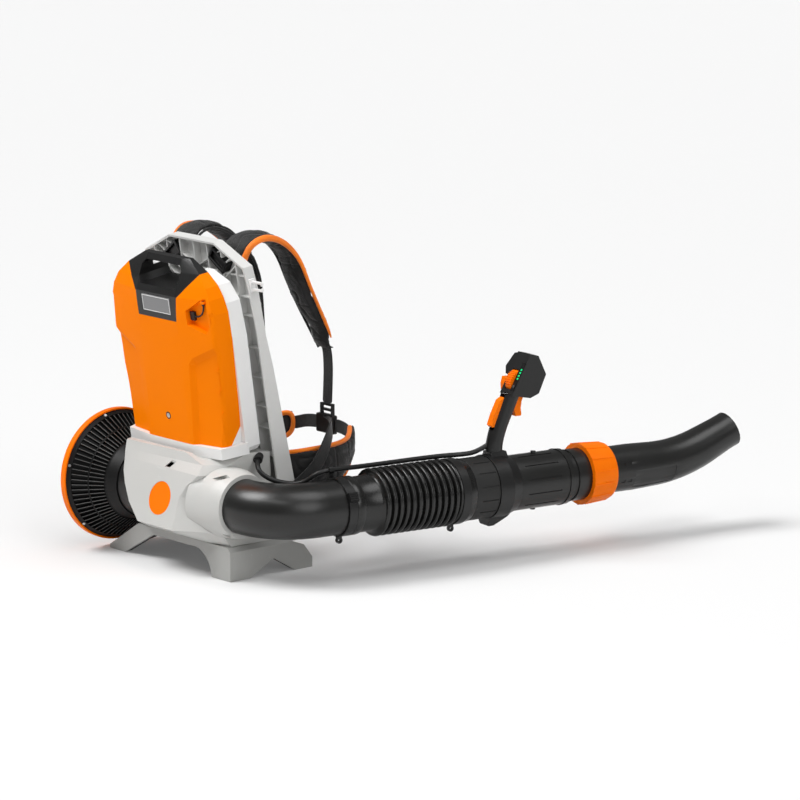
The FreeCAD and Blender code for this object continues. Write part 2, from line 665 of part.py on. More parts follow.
# Air tube, laid along Y with its centre line at the origin

def elbow_core(radius, overrun):
    """The solid form of the bend for one radius, a little longer at both ends for a bore."""
    start = COLLAR_X - ELBOW_SPIGOT
    corner = V(COLLAR_X + ELBOW_RUN_IN, FAN_Y, FAN_Z)
    first = rod((start - overrun, FAN_Y, FAN_Z), X_AXIS, radius, corner.x - start + overrun)
    disc = Part.Face(Part.Wire(Part.makeCircle(radius, corner, X_AXIS)))
    bend = disc.revolve(corner + Y_AXIS * ELBOW_BEND, Z_AXIS, 90 - TUBE_ANGLE)
    last = on_tube(rod((0, -ELBOW_RUN_OUT, 0), Y_AXIS, radius, ELBOW_RUN_OUT + CUFF_START - FIT + overrun))
    return first.fuse(bend).fuse(last)


def elbow():
    """Black bend from the collar into the tube's direction."""
    spigot = on_tube(rod((0, CUFF_START - FIT - 1, 0), Y_AXIS, CUFF_RADIUS - CUFF_WALL - 0.1,
                         CUFF_END - 8 - CUFF_START + FIT + 1))
    bore = on_tube(rod((0, CUFF_START - 5, 0), Y_AXIS, CUFF_RADIUS - CUFF_WALL - 3, CUFF_END))
    outer = elbow_core(ELBOW_RADIUS, 0).fuse(spigot)
    return outer.cut(elbow_core(CUFF_RADIUS - CUFF_WALL - 3, 1)).cut(bore)


def hose_clamp(start, end, radius, buckle_angle, buckle_shift):
    """Band with a toothed tensioner on its side and an eyelet below."""
    outer = radius + CLAMP_BAND
    band = sleeve_on_tube(start, end, outer, radius + 0.1)
    middle = (start + end) / 2
    centre = middle + buckle_shift
    tensioner = block(-9, 9, centre - 9, centre + 9, outer - 1, outer + 6)
    places = (-6.5, -2.5, 1.5, 5.5)
    teeth = [block(x - 1, x + 1, centre - 9, centre + 9, outer + 5, outer + 8) for x in places]
    buckle = union(tensioner, *teeth)
    buckle.rotate(V(0, 0, 0), Y_AXIS, buckle_angle)
    lug = block(-3, 3, middle - 5, middle + 5, -outer - 6, -outer + 1)
    eye = rod((-3, middle, -outer - 8), X_AXIS, 6, 6).cut(rod((-4, middle, -outer - 8), X_AXIS, 2.6, 8))
    return union(band, buckle, lug, eye)


def clear_of_cuff(shape, start, end, radius):
    return shape.cut(rod((0, start - 5, 0), Y_AXIS, radius + 0.1, end - start + 10))


def hose_clamp_rear():
    clamp = hose_clamp(CLAMP_REAR_START, CLAMP_REAR_END, CUFF_RADIUS, 62, 0)
    return on_tube(clear_of_cuff(clamp, CLAMP_REAR_START, CLAMP_REAR_END, CUFF_RADIUS))


def hose_clamp_front():
    clamp = hose_clamp(CLAMP_FRONT_START, CLAMP_FRONT_END, FRONT_CUFF_RADIUS, -110, 0)
    return on_tube(clear_of_cuff(clamp, CLAMP_FRONT_START, CLAMP_FRONT_END, FRONT_CUFF_RADIUS))


def hose_rings(shrink):
    """Circles of the ribs: four for each rib, then the plain end."""
    rings = []
    for index in range(RIB_COUNT):
        start = CUFF_END + index * RIB_PITCH
        for along, radius in ((0.0, VALLEY_RADIUS), (0.2, VALLEY_RADIUS), (0.45, RIB_RADIUS),
                              (0.72, RIB_RADIUS)):
            rings.append((start + along * RIB_PITCH, radius - shrink))
    end = CUFF_END + RIB_COUNT * RIB_PITCH
    rings.append((end, VALLEY_RADIUS - shrink))
    return rings


def hose_loft(rings):
    wires = []
    for along, radius in rings:
        circle = Part.Circle(V(0, along, 0), Y_AXIS, radius)
        circle.XAxis = X_AXIS
        wires.append(Part.Wire(circle.toShape()))
    return Part.makeLoft(wires, True, True)


def bellows_hose():
    """Ribbed rubber hose with a plain cuff at each end."""
    ribs_end = CUFF_END + RIB_COUNT * RIB_PITCH
    outer = hose_loft(hose_rings(0))
    inner = hose_loft(hose_rings(HOSE_WALL))
    ribs = outer.cut(inner)
    bead_start = CLAMP_REAR_END + 0.5
    rear = turned_on_tube([(CUFF_START, CUFF_RADIUS - CUFF_WALL), (CUFF_START, CUFF_RADIUS),
                           (bead_start, CUFF_RADIUS), (bead_start, CUFF_BEAD_RADIUS),
                           (CUFF_BEAD_END, CUFF_BEAD_RADIUS), (CUFF_BEAD_END, CUFF_RADIUS),
                           (CUFF_END, CUFF_RADIUS), (CUFF_END, CUFF_RADIUS - CUFF_WALL)])
    joint = turned_on_tube([(CUFF_END - 3, CUFF_RADIUS - 1), (CUFF_END - 3, VALLEY_RADIUS),
                            (CUFF_END, VALLEY_RADIUS), (CUFF_END, CUFF_RADIUS - 1)])
    inner_front = PIPE_RADIUS + 0.1
    front = turned_on_tube([(ribs_end, VALLEY_RADIUS - HOSE_WALL), (ribs_end, VALLEY_RADIUS),
                            (ribs_end + 3, FRONT_CUFF_RADIUS), (FRONT_CUFF_END, FRONT_CUFF_RADIUS),
                            (FRONT_CUFF_END, inner_front), (ribs_end + 5, inner_front)])
    return on_tube(union(ribs, rear, joint, front))


def grip_sleeve():
    """Black sleeve with long raised ribs round the tube."""
    sleeve = sleeve_on_tube(SLEEVE_START, SLEEVE_END, SLEEVE_RADIUS, PIPE_RADIUS + 0.1)
    grooves = []
    for index in range(SLEEVE_GROOVES):
        groove = block(-1.2, 1.2, SLEEVE_START + 12, SLEEVE_END - 3, SLEEVE_RADIUS - 1.5, SLEEVE_RADIUS + 1)
        groove.rotate(V(0, 0, 0), Y_AXIS, 360 * index / SLEEVE_GROOVES)
        grooves.append(groove)
    return on_tube(sleeve.cut(Part.makeCompound(grooves)))


def handle_tube():
    """Tube that carries the handle, with long grooves and the muzzle for the nozzle."""
    bore = PIPE_BORE
    muzzle_bore = NOZZLE_RADIUS + RUNNING_FIT
    body = turned_on_tube([(PIPE_START, bore), (PIPE_START, PIPE_RADIUS), (SEAM_START, PIPE_RADIUS),
                           (SEAM_START, PIPE_RADIUS + 1.5), (SEAM_END, PIPE_RADIUS + 0.5),
                           (SEAM_END, MUZZLE_RADIUS - 2), (SEAM_END + 12, MUZZLE_RADIUS - 2),
                           (SEAM_END + 12, MUZZLE_RADIUS), (MUZZLE_END, MUZZLE_RADIUS),
                           (MUZZLE_END, muzzle_bore), (NOZZLE_START - 56, muzzle_bore),
                           (NOZZLE_START - 56, bore)])
    grooves = []
    for index in range(TUBE_GROOVES):
        groove = block(-1.3, 1.3, 394, 468, PIPE_RADIUS - 1.6, PIPE_RADIUS + 2)
        groove.rotate(V(0, 0, 0), Y_AXIS, 360 * (index + 0.5) / TUBE_GROOVES)
        grooves.append(groove)
    knobs = [rod((0, 436, PIPE_RADIUS - 3), Z_AXIS, 5, 6.5), rod((0, 436, -PIPE_RADIUS + 3), -Z_AXIS, 5, 6.5)]
    hollow = rod((0, 400, 0), Y_AXIS, bore + 0.5, 80)
    return on_tube(union(body.cut(Part.makeCompound(grooves)), *[k.cut(hollow) for k in knobs]))


def handle_collar():
    """Clamp collar under the handle, with the clamp's lobe below and a taper to the front."""
    ring = turned_on_tube([(COLLAR_START, 0), (COLLAR_START, CLAMP_COLLAR_RADIUS),
                           (COLLAR_START + 30, CLAMP_COLLAR_RADIUS), (COLLAR_END, PIPE_RADIUS + 1.2),
                           (COLLAR_END, 0)])
    lobe = prism_along_x([(COLLAR_START, 0), (COLLAR_START, -CLAMP_LOBE_RADIUS + 2),
                          (COLLAR_START + 3, -CLAMP_LOBE_RADIUS), (COLLAR_START + 14, -CLAMP_LOBE_RADIUS),
                          (COLLAR_START + 30, -CLAMP_LOBE_RADIUS + 12), (COLLAR_START + 42, -PIPE_RADIUS),
                          (COLLAR_START + 42, 0)], -24, 24)
    lobe_limit = prism_along_y([(-24, 0), (-24, -56), (-12, -CLAMP_LOBE_RADIUS), (12, -CLAMP_LOBE_RADIUS),
                                (24, -56), (24, 0)], COLLAR_START, COLLAR_END)
    saddle = stacked([(40, [(-19, 330), (19, 330), (19, 374), (-19, 374)]),
                      (SADDLE_TOP, [(-13, 334), (13, 334), (15, 366), (-15, 366)])])
    whole = union(ring, lobe.common(lobe_limit), saddle)
    whole = whole.cut(rod((0, COLLAR_START - 1, 0), Y_AXIS, PIPE_RADIUS + 0.1, 60))
    return on_tube(whole)


# Control handle, laid out over the tube

def stem_levels(grow):
    """Centre, half length and half width of the stem at its levels."""
    return [(SADDLE_TOP + FIT, 348, 16.5 - grow, 15 - grow), (90, 352, 16.5 - grow, 15.5 - grow),
            (130, 367.5, 17.5 - grow, 16 - grow), (170, 384.5, 18.5 - grow, 16.5 - grow)]


def stem_body(grow, cap=0.0):
    rings = []
    for index, (z, along, half_length, half_width) in enumerate(stem_levels(grow)):
        centre = V(0, along, z + (cap if index == 0 else 0))
        ellipse = Part.Ellipse(centre + Y_AXIS * half_length, centre + X_AXIS * half_width, centre)
        rings.append(Part.Wire(ellipse.toShape()))
    return Part.makeLoft(rings, True, False)


def head_outline(grow=0.0):
    """The head's side view as (along the tube, height) corners."""
    corners = [(HEAD_REAR, HEAD_BOTTOM), (HEAD_REAR + 40.6, HEAD_BOTTOM + 74),
               (HEAD_REAR + 58.6, HEAD_BOTTOM + 69.4), (HEAD_REAR + 75.6, HEAD_BOTTOM + 33.4),
               (HEAD_REAR + 59.8, HEAD_BOTTOM - 1.3), (HEAD_REAR + 41, HEAD_BOTTOM - 8.2)]
    return inset(corners, grow) if grow else corners


def head_body(grow=0.0):
    half = HEAD_WIDTH / 2 - grow
    return prism_along_x(head_outline(grow), -half, half)


def head_face_frame(shape):
    """From a flat layout (x across, y up the sloping face, z out of it) to the head's rear face."""
    lean = atan2(40.6, 74)
    moved = shape.copy()
    moved.rotate(V(0, 0, 0), X_AXIS, 90 - lean * 180 / pi)
    moved.translate(V(0, HEAD_REAR, HEAD_BOTTOM))
    return moved


def handle_grip():
    """Hollow stem with slots for the trigger in front and the lockout lever behind."""
    stem = stem_body(0).cut(stem_body(WALL, WALL))
    stem = stem.cut(head_body(-FIT))
    stem = stem.cut(trigger_slot()).cut(lockout_slot())
    return on_tube(stem.cut(rod((-12, LOCKOUT_PIN[0], LOCKOUT_PIN[1]), X_AXIS, PIN_RADIUS + 0.02, 24)))


def trigger_slot():
    half = TRIGGER_WIDTH / 2 + FIT
    return prism_along_x([(366, 114), (402, 114), (425, 160), (425, 176), (386, 176)], -half, half)


def lockout_slot():
    half = LOCKOUT_WIDTH / 2 + FIT
    side = [(330, 102), (358, 110), (379, 164), (379, 172), (350, 172), (330, 130)]
    return prism_along_x(side, -half, half)


def trigger_body():
    """Front trigger, hung from a pin inside the head."""
    half = TRIGGER_WIDTH / 2
    side = [(392, 127), (404, 127), (405, 131), (403.5, 141), (405.5, 154), (410, 166), (409, 175),
            (401, 175), (397, 166), (388, 146)]
    return prism_along_x(side, -half, half)


def trigger():
    hole = rod((-30, TRIGGER_PIN[0], TRIGGER_PIN[1]), X_AXIS, PIN_RADIUS + RUNNING_FIT, 60)
    return on_tube(trigger_body().cut(hole))


def lockout_body():
    half = LOCKOUT_WIDTH / 2
    return prism_along_x([(337, 115), (341, 111), (349, 113), (356, 130), (366, 152), (374, 152), (375, 161),
                          (366, 165), (357, 160), (344, 134)], -half, half)


def lockout_lever():
    """Orange lever behind the stem that frees the trigger."""
    hole = rod((-30, LOCKOUT_PIN[0], LOCKOUT_PIN[1]), X_AXIS, PIN_RADIUS + RUNNING_FIT, 60)
    return on_tube(lockout_body().cut(hole))


def handle_pins():
    """Pins of the trigger, the lockout lever, the side lever and the slider."""
    reach = HEAD_WIDTH / 2 - 1
    trigger_pin = rod((-reach, TRIGGER_PIN[0], TRIGGER_PIN[1]), X_AXIS, PIN_RADIUS, 2 * reach)
    lockout_pin = rod((-12, LOCKOUT_PIN[0], LOCKOUT_PIN[1]), X_AXIS, PIN_RADIUS, 24)
    slider_pin = head_face_frame(rod((-reach, SLIDER_UP, -SLIDER_DEPTH), X_AXIS, PIN_RADIUS, 2 * reach))
    return on_tube(group(trigger_pin, lockout_pin, slider_pin))


def side_bulge(grow=0.0):
    """Faceted bulge on the head's left side, over the side lever."""
    corners = [(-16 - grow, 37 + grow), (-29, 38 + grow), (-38.5 + grow, 52), (-29 + grow, 80 - grow),
               (-16, 83 - grow)]
    return head_face_frame(prism([(x, y, -34 + grow) for x, y in corners], (0, 0, 34 - 2 * grow)))


def handle_head():
    """Hollow control head with a bulge on its left, open below for the trigger."""
    shell = union(head_body(), side_bulge()).cut(head_body(WALL)).cut(side_bulge(WALL))
    shell = shell.cut(stem_body(-FIT)).cut(trigger_slot()).cut(lockout_slot())
    pocket = head_face_frame(block(DISPLAY_LEFT - FIT, DISPLAY_RIGHT + FIT, 9 - FIT, 66 + FIT, -WALL - 1, 1))
    slot = head_face_frame(block(SLIDER_LEFT - FIT, SLIDER_LEFT + SLIDER_WIDTH + FIT, 11, 51, -12, 2))
    reach = HEAD_WIDTH / 2 - 1
    slider_hole = rod((-reach, SLIDER_UP, -SLIDER_DEPTH), X_AXIS, PIN_RADIUS + 0.02, 2 * reach)
    holes = group(rod((-reach, TRIGGER_PIN[0], TRIGGER_PIN[1]), X_AXIS, PIN_RADIUS + 0.02, 2 * reach),
                  head_face_frame(slider_hole),
                  head_face_frame(rod((-HEAD_WIDTH / 2 - 1, SIDE_PIVOT[0], SIDE_PIVOT[1]), X_AXIS,
                                      SIDE_BOSS_RADIUS + RUNNING_FIT, WALL + 2)))
    return on_tube(shell.cut(pocket).cut(slot).cut(holes))


def display_panel():
    """Dark oval panel with a small lit window, let into the sloping face."""
    middle = (DISPLAY_LEFT + DISPLAY_RIGHT) / 2
    plate = block(DISPLAY_LEFT, DISPLAY_RIGHT, 9, 66, -WALL, 0.4)
    corners = [edge for edge in plate.Edges if abs(edge.Length - WALL - 0.4) < 0.01]
    plate = plate.makeFillet(4, corners)
    window = block(middle - 3, middle + 3, 28, 56, -0.4, 1)
    hole = rod((middle, BUTTON_UP, -10), Z_AXIS, BUTTON_RADIUS + FIT, 12)
    return on_tube(head_face_frame(plate.cut(window).cut(hole)))


def power_button():
    middle = (DISPLAY_LEFT + DISPLAY_RIGHT) / 2
    cap = rod((middle, BUTTON_UP, -5), Z_AXIS, BUTTON_RADIUS, 5 + BUTTON_PROUD)
    flange = rod((middle, BUTTON_UP, -5), Z_AXIS, BUTTON_RADIUS + 0.5, 1.2)
    return on_tube(head_face_frame(cap.fuse(flange)))


def thumb_slider():
    """Ribbed orange thumb wheel; only its rim stands out of the face."""
    disc = rod((SLIDER_LEFT, SLIDER_UP, -SLIDER_DEPTH), X_AXIS, SLIDER_RADIUS, SLIDER_WIDTH)
    reach, rise = 2 * SLIDER_RADIUS * sin(radians(66)), 2 * SLIDER_RADIUS * cos(radians(66))
    sector = prism_along_x([(SLIDER_UP, -SLIDER_DEPTH - 2), (SLIDER_UP - reach, -SLIDER_DEPTH - 2 + rise),
                            (SLIDER_UP, SLIDER_RADIUS * 2), (SLIDER_UP + reach, -SLIDER_DEPTH - 2 + rise)],
                           SLIDER_LEFT - 1, SLIDER_LEFT + SLIDER_WIDTH + 1)
    hub = rod((SLIDER_LEFT, SLIDER_UP, -SLIDER_DEPTH), X_AXIS, 5, SLIDER_WIDTH)
    hole = PIN_RADIUS + RUNNING_FIT
    bore = rod((SLIDER_LEFT - 1, SLIDER_UP, -SLIDER_DEPTH), X_AXIS, hole, SLIDER_WIDTH + 2)
    wheel = union(disc.common(sector), hub).cut(bore)
    grooves = []
    right = SLIDER_LEFT + SLIDER_WIDTH
    for index in range(7):
        groove = block(SLIDER_LEFT - 1, right + 1, -1, 1, SLIDER_RADIUS - 1.6, SLIDER_RADIUS + 2)
        groove.rotate(V(0, 0, 0), X_AXIS, (index - 3) * 12)
        groove.translate(V(0, SLIDER_UP, -SLIDER_DEPTH))
        grooves.append(groove)
    return on_tube(head_face_frame(wheel.cut(Part.makeCompound(grooves))))


def side_lever():
    """Orange lever on the left of the head, with its pivot boss through the wall."""
    left = -HEAD_WIDTH / 2 - FIT
    arm = prism_along_x([(6, -14), (6, -24), (18, -27), (34, -22), (35, -6), (31, 1), (18, -2), (9, -8)],
                        left - SIDE_LEVER_WIDTH, left)
    boss = rod((left - 1, SIDE_PIVOT[0], SIDE_PIVOT[1]), X_AXIS, SIDE_BOSS_RADIUS, WALL + 1)
    return on_tube(head_face_frame(arm.fuse(boss)))


def coupling_ring():
    """Orange union ring with grip ribs, free to turn on the muzzle."""
    bore = MUZZLE_RADIUS + RUNNING_FIT
    ring = turned_on_tube([(RING_START, bore), (RING_START, RING_REAR_RADIUS),
                           (RING_END - 6, RING_FRONT_RADIUS), (RING_END, RING_FRONT_RADIUS - 2),
                           (RING_END, bore)])
    ribs = []
    for index in range(RING_RIBS):
        side = [(RING_START, RING_REAR_RADIUS - 1), (RING_START, RING_REAR_RADIUS + 1.2),
                (RING_END - 8, RING_FRONT_RADIUS + 1.0), (RING_END - 6, RING_FRONT_RADIUS - 1)]
        rib = prism_along_x(side, -1.4, 1.4)
        rib.rotate(V(0, 0, 0), Y_AXIS, 360 * index / RING_RIBS)
        ribs.append(rib)
    return on_tube(union(ring, *ribs))


def nozzle_core(shrink):
    """The nozzle's solid form, smaller all round by a wall for the bore."""
    over = 1.0 if shrink else 0.0
    straight = turned_on_tube([(NOZZLE_START - over, 0), (NOZZLE_START - over, NOZZLE_RADIUS - shrink),
                               (NOZZLE_STRAIGHT_END, NOZZLE_RADIUS - shrink),
                               (NOZZLE_BEND_START, NOZZLE_BEND_PIPE - shrink), (NOZZLE_BEND_START, 0)])
    corner = V(0, NOZZLE_BEND_START, 0)
    centre = corner + Z_AXIS * NOZZLE_BEND_RADIUS
    rings = []
    for step in range(NOZZLE_BEND_STEPS + 1):
        share = step / NOZZLE_BEND_STEPS
        lean = radians(NOZZLE_BEND_ANGLE * share)
        end = centre + V(0, sin(lean), -cos(lean)) * NOZZLE_BEND_RADIUS
        way = V(0, cos(lean), sin(lean))
        radius = NOZZLE_BEND_PIPE + (NOZZLE_TIP_RADIUS - NOZZLE_BEND_PIPE) * share - shrink
        rings.append(Part.Wire(Part.makeCircle(radius, end, way)))
    bend = Part.makeLoft(rings, True)
    taper = NOZZLE_TIP_RUN - NOZZLE_TIP_STRAIGHT
    tip = Part.makeCone(NOZZLE_TIP_RADIUS - shrink, MOUTH_RADIUS - shrink, taper, end, way)
    rim = Part.makeCylinder(MOUTH_RADIUS - shrink, NOZZLE_TIP_STRAIGHT + over, end + way * taper, way)
    return straight.fuse(bend).fuse(tip).fuse(rim)


def nozzle():
    """Blower nozzle: a sliding sleeve, a long tapering tube and an upturned tip."""
    tube = nozzle_core(0).cut(nozzle_core(NOZZLE_WALL))
    marks = []
    for angle in (68, 112, 248, 292):
        for start in DETENTS:
            mark = block(-3, 3, start, start + 9, NOZZLE_RADIUS - 1.2, NOZZLE_RADIUS + 2)
            mark.rotate(V(0, 0, 0), Y_AXIS, angle)
            marks.append(mark)
    return on_tube(tube.cut(Part.makeCompound(marks)))


# Battery, laid out on the upright seat: X across, Y forward from the seat, Z up it

def battery_level(up, half, side, front, fold=57.0):
    """One level of the front shell: its half width and how far its faces stand out."""
    return up, [(-half, -BATTERY_SPLIT), (-half, -side), (-fold, -front), (fold, -front), (half, -side),
                (half, -BATTERY_SPLIT)]


def front_levels():
    return [battery_level(FRONT_BOTTOM, 136.5, 80, 90.5), battery_level(80, 143, 75, 88),
            battery_level(210, 151, 73.5, 83.5), battery_level(262, 150, 70, 81.5),
            battery_level(289, 142, 67, 79.5), battery_level(309, 130, 62, 71, 56),
            battery_level(330, 106, 53, 60, 55), battery_level(BATTERY_TOP, 66, 40, 46, 50)]


def inner_levels():
    levels = []
    for index, (up, points) in enumerate(front_levels()):
        if index == 0:
            up = up - 1
        if index == len(front_levels()) - 1:
            up = up - WALL
        shrunk = inset(points, WALL)
        flush = [(x, -BATTERY_SPLIT + 1 if abs(y + BATTERY_SPLIT + WALL) < 0.5 else y) for x, y in shrunk]
        levels.append((up, flush))
    return levels


def insert_outline(grow=0.0):
    """The black handle insert's outline, seen from the front."""
    half = [(127 + grow, BATTERY_TOP + 5), (127 + grow, BATTERY_TOP - 1), (60 + grow, 287),
            (56 + grow, INSERT_BOTTOM - grow)]
    return mirrored(half)


def insert_space(grow=0.0, front=-110.0, back=0.0):
    return prism_along_y(insert_outline(grow), front, back if back else -BATTERY_SPLIT)


def hand_opening(grow=0.0):
    corners = [(HAND_HALF + grow, HAND_BOTTOM + 12), (HAND_HALF + grow, HAND_TOP - 8 + grow),
               (HAND_HALF - 8, HAND_TOP + grow)]
    low = [(HAND_HALF - 8, HAND_BOTTOM - grow)]
    points = [corners[2], corners[1], corners[0]] + low
    return prism_along_y(mirrored(points), -120, 5)


def cover_corners(grow=0.0):
    """The lower rear corners of the cover, which the white back fills."""
    side = [(-BATTERY_SPLIT + 1.5, FRONT_BOTTOM - 3), (-BATTERY_SPLIT + 1.5, 45 + grow),
            (-BATTERY_SPLIT, 43 + grow), (-56 - grow, FRONT_BOTTOM), (-58 - grow, FRONT_BOTTOM - 3)]
    return group(prism_along_x(side, 120, 160), prism_along_x(side, -160, -120))


def cap_recess(grow=0.0):
    corners = [(84, 240), (138, 226), (134, 292), (120, 289), (82, 266)]
    points = inset(corners, -grow) if grow else corners
    return prism_along_y(points, -110, -CAP_RECESS_Y + grow)


def battery_front_shell():
    """Orange faceted cover of the battery."""
    outer = stacked(front_levels())
    inner = stacked(inner_levels()).cut(cap_recess(WALL))
    shell = outer.cut(inner).cut(cap_recess()).cut(cover_corners(0.1))
    shell = shell.cut(insert_space(0.1)).cut(hand_opening(WALL + 0.2))
    plug = rod((CAP_X, -110, CAP_UP), Y_AXIS, CAP_PLUG_RADIUS + 0.8, 110 - CAP_RECESS_Y + WALL + 2)
    screw = rod((0, -100, SCREW_UP), Y_AXIS, 4.5, 30)
    face = -CAP_RECESS_Y - FIT - 2.5
    lug = block(CAP_PIVOT_X - 4.5, CAP_PIVOT_X + 4.5, face - 4, -CAP_RECESS_Y + 1,
                CAP_PIVOT_UP + 2, CAP_PIVOT_UP + 6)
    eye = rod((CAP_PIVOT_X, face, CAP_PIVOT_UP), Z_AXIS, CAP_POST_RADIUS + RUNNING_FIT, 10)
    return on_seat(union(shell, lug).cut(plug).cut(screw).cut(eye))


def battery_handle_insert():
    """Black insert with the carrying bar and the lined hand opening."""
    body = stacked(front_levels()).common(insert_space())
    hollow = stacked(inner_levels()).common(insert_space(-WALL)).cut(hand_opening(WALL))
    lining = hand_opening(WALL).common(block(-200, 200, -BATTERY_SPLIT - 1, 0, 0, 324))
    body = body.cut(hollow)
    whole = union(body, lining).cut(hand_opening())
    half = LABEL_HALF + 0.1
    plate = block(-half, half, -100, -LABEL_DEPTH, LABEL_BOTTOM - 0.1, LABEL_TOP + 0.1)
    return on_seat(whole.cut(plate))


def battery_label_plate():
    """Blank label plate on the insert."""
    return on_seat(block(-LABEL_HALF, LABEL_HALF, -LABEL_DEPTH - 2.5, -LABEL_DEPTH, LABEL_BOTTOM, LABEL_TOP))


def battery_screw():
    """Round keyhole insert low on the front."""
    profile = [(-88, 0), (-88, 2), (-89, 2), (-89, 4.3), (-80, 4.3), (-80, 0)]
    return on_seat(turned(profile, (0, 0, SCREW_UP), Y_AXIS, X_AXIS))


def rear_outline(shrink=0.0):
    half = [(79, 324), (123, 306), (145, 276), (152, 210), (150, 113), (147, 1), (138, BATTERY_BOTTOM)]
    points = mirrored(half)
    return inset(points, shrink) if shrink else points


def tray_outline(shrink=0.0):
    half = [(62, -TRAY_FRONT), (137, -82), (151, -BATTERY_SPLIT), (151, -BATTERY_SPLIT + 4)]
    points = mirrored(half)
    return inset(points, shrink) if shrink else points


def corner_plates():
    """White plates in the cover's lower rear corners, flush with its sides."""
    outer, inner = front_levels(), inner_levels()
    outer[0] = (FRONT_BOTTOM - 2, outer[0][1])
    inner[0] = (FRONT_BOTTOM - 3, inner[0][1])
    return stacked(outer).cut(stacked(inner)).common(cover_corners())


def battery_rear_shell():
    """White back of the battery with the tray that wraps under the cover."""
    tray_top = FRONT_BOTTOM - 0.1
    slab = prism_along_y(rear_outline(), -BATTERY_SPLIT, 0)
    tray = prism_along_z(tray_outline(), BATTERY_BOTTOM, tray_top)
    hollow = prism_along_y(rear_outline(WALL), -BATTERY_SPLIT + WALL, -WALL)
    mouth = [(70, 317), (116, 301), (136, 273), (143, 210), (137, 80), (131, FRONT_BOTTOM),
             (131, BATTERY_BOTTOM + WALL)]
    front = prism_along_y(mirrored(mouth), -BATTERY_SPLIT - 1, -BATTERY_SPLIT + WALL + 1)
    well = prism_along_z(tray_outline(WALL), BATTERY_BOTTOM + WALL, tray_top - WALL)
    rim = prism_along_z(mirrored([(52, -78), (120, -68), (133, -36)]), tray_top - WALL - 1, tray_top + 1)
    shell = slab.fuse(tray).cut(hollow).cut(front).cut(well).cut(rim).fuse(corner_plates())
    shell = shell.cut(hand_opening(WALL + 0.1))
    pocket = block(-DOCK_HALF - 1, DOCK_HALF + 1, DOCK_REAR - 1, DOCK_FRONT + 1,
                   BATTERY_BOTTOM - 1, BATTERY_BOTTOM + 9)
    lip = block(-DOCK_HALF - 4, DOCK_HALF + 4, DOCK_REAR - 4, DOCK_FRONT + 4,
                BATTERY_BOTTOM + 0.5, FRONT_BOTTOM - 1)
    return on_seat(shell.fuse(lip).removeSplitter().cut(pocket))


def battery_cells():
    """Cell block inside the battery."""
    cells = block(-112, 112, -64, -WALL - FIT, FRONT_BOTTOM + 2, 226)
    return on_seat(cells)


def dock_body(grow=0.0):
    return block(-DOCK_HALF - grow, DOCK_HALF + grow, DOCK_REAR - grow, DOCK_FRONT + grow,
                 BATTERY_BOTTOM - FIT - 3, BATTERY_BOTTOM + 5)


def battery_dock():
    """Black contact block on the housing, under the battery."""
    floor = BATTERY_BOTTOM - FIT
    body = dock_body()
    slots = []
    for x in DOCK_BLADES:
        slots.append(block(x - 1, x + 1, DOCK_REAR + 5, DOCK_FRONT - 5, floor, BATTERY_BOTTOM + 6))
    return on_seat(body.cut(Part.makeCompound(slots)))


def dock_contacts():
    floor = BATTERY_BOTTOM - FIT
    return on_seat(group(*[block(x - 1, x + 1, DOCK_REAR + 5, DOCK_FRONT - 5, floor, BATTERY_BOTTOM + 8)
                           for x in DOCK_BLADES]))


def socket_cap():
    """Rubber cap with its tether, plugged in the service socket."""
    face = -CAP_RECESS_Y - FIT
    cap = block(CAP_X - 6, CAP_X + 6, face - 5, face, CAP_UP - 8, CAP_UP + 8)
    plug = rod((CAP_X, face - 1, CAP_UP), Y_AXIS, CAP_PLUG_RADIUS, 4)
    start = V(CAP_X + 5, face - 2.5, CAP_UP)
    end = V(CAP_PIVOT_X, face - 2.5, CAP_PIVOT_UP)
    middle = V(CAP_PIVOT_X - 8, face - 2.5, CAP_UP + 6)
    way = Part.Wire(Part.Arc(start, middle, end).toShape())
    ring = Part.Wire(Part.makeCircle(1.6, start, way.Edges[0].tangentAt(way.Edges[0].FirstParameter)))
    tether = way.makePipeShell([ring], True, False)
    post = rod((CAP_PIVOT_X, face - 2.5, CAP_PIVOT_UP - 2), Z_AXIS, CAP_POST_RADIUS, 8)
    return on_seat(union(cap, plug, tether, post))


# Carrying frame

def frame_outline(shrink=0.0):
    half = [(66, FRAME_TOP), (FRAME_HALF - 16, FRAME_TOP - 38), (FRAME_HALF - 7, 289), (FRAME_HALF, 210),
            (FRAME_HALF, -15), (FRAME_HALF + 2, FRAME_BOTTOM)]
    points = mirrored(half)
    return inset(points, shrink) if shrink else points


def frame_side(back=0.0):
    """The frame's side view: rim behind, stepped front edge."""
    return [(FRAME_RIM, FRAME_TOP + 5), (FRAME_RIM, FRAME_BOTTOM - 5), (63 - back, FRAME_BOTTOM - 5),
            (55 - back, -84), (42 - back, 137), (35 - back, 200), (38 - back, FRAME_TOP + 5)]


def frame_body(shrink, back):
    wide = prism_along_y(frame_outline(shrink), 0, 120)
    return wide.common(prism_along_x(frame_side(back), -250, 250))


def frame_ribs():
    """Lattice of stiffening ribs inside the rim."""
    ribs = []
    for x in FRAME_RIB_X:
        ribs.append(block(x - 1.5, x + 1.5, FRAME_RIM + 3, 70, FRAME_BOTTOM, FRAME_TOP))
    for up in FRAME_RIB_UP:
        ribs.append(block(-FRAME_HALF, FRAME_HALF, FRAME_RIM + 5, 70, up, up + 2.5))
    for side in (1, -1):
        for low, high in ((20, 140), (-55, 100), (60, 165)):
            ribs.append(prism_along_y([(side * low, FRAME_TOP - 80), (side * (low + 4), FRAME_TOP - 80),
                                       (side * high, FRAME_TOP - 4), (side * (high - 4), FRAME_TOP - 4)],
                                      FRAME_RIM + 4, 70))
    return union(ribs[0], *ribs[1:])


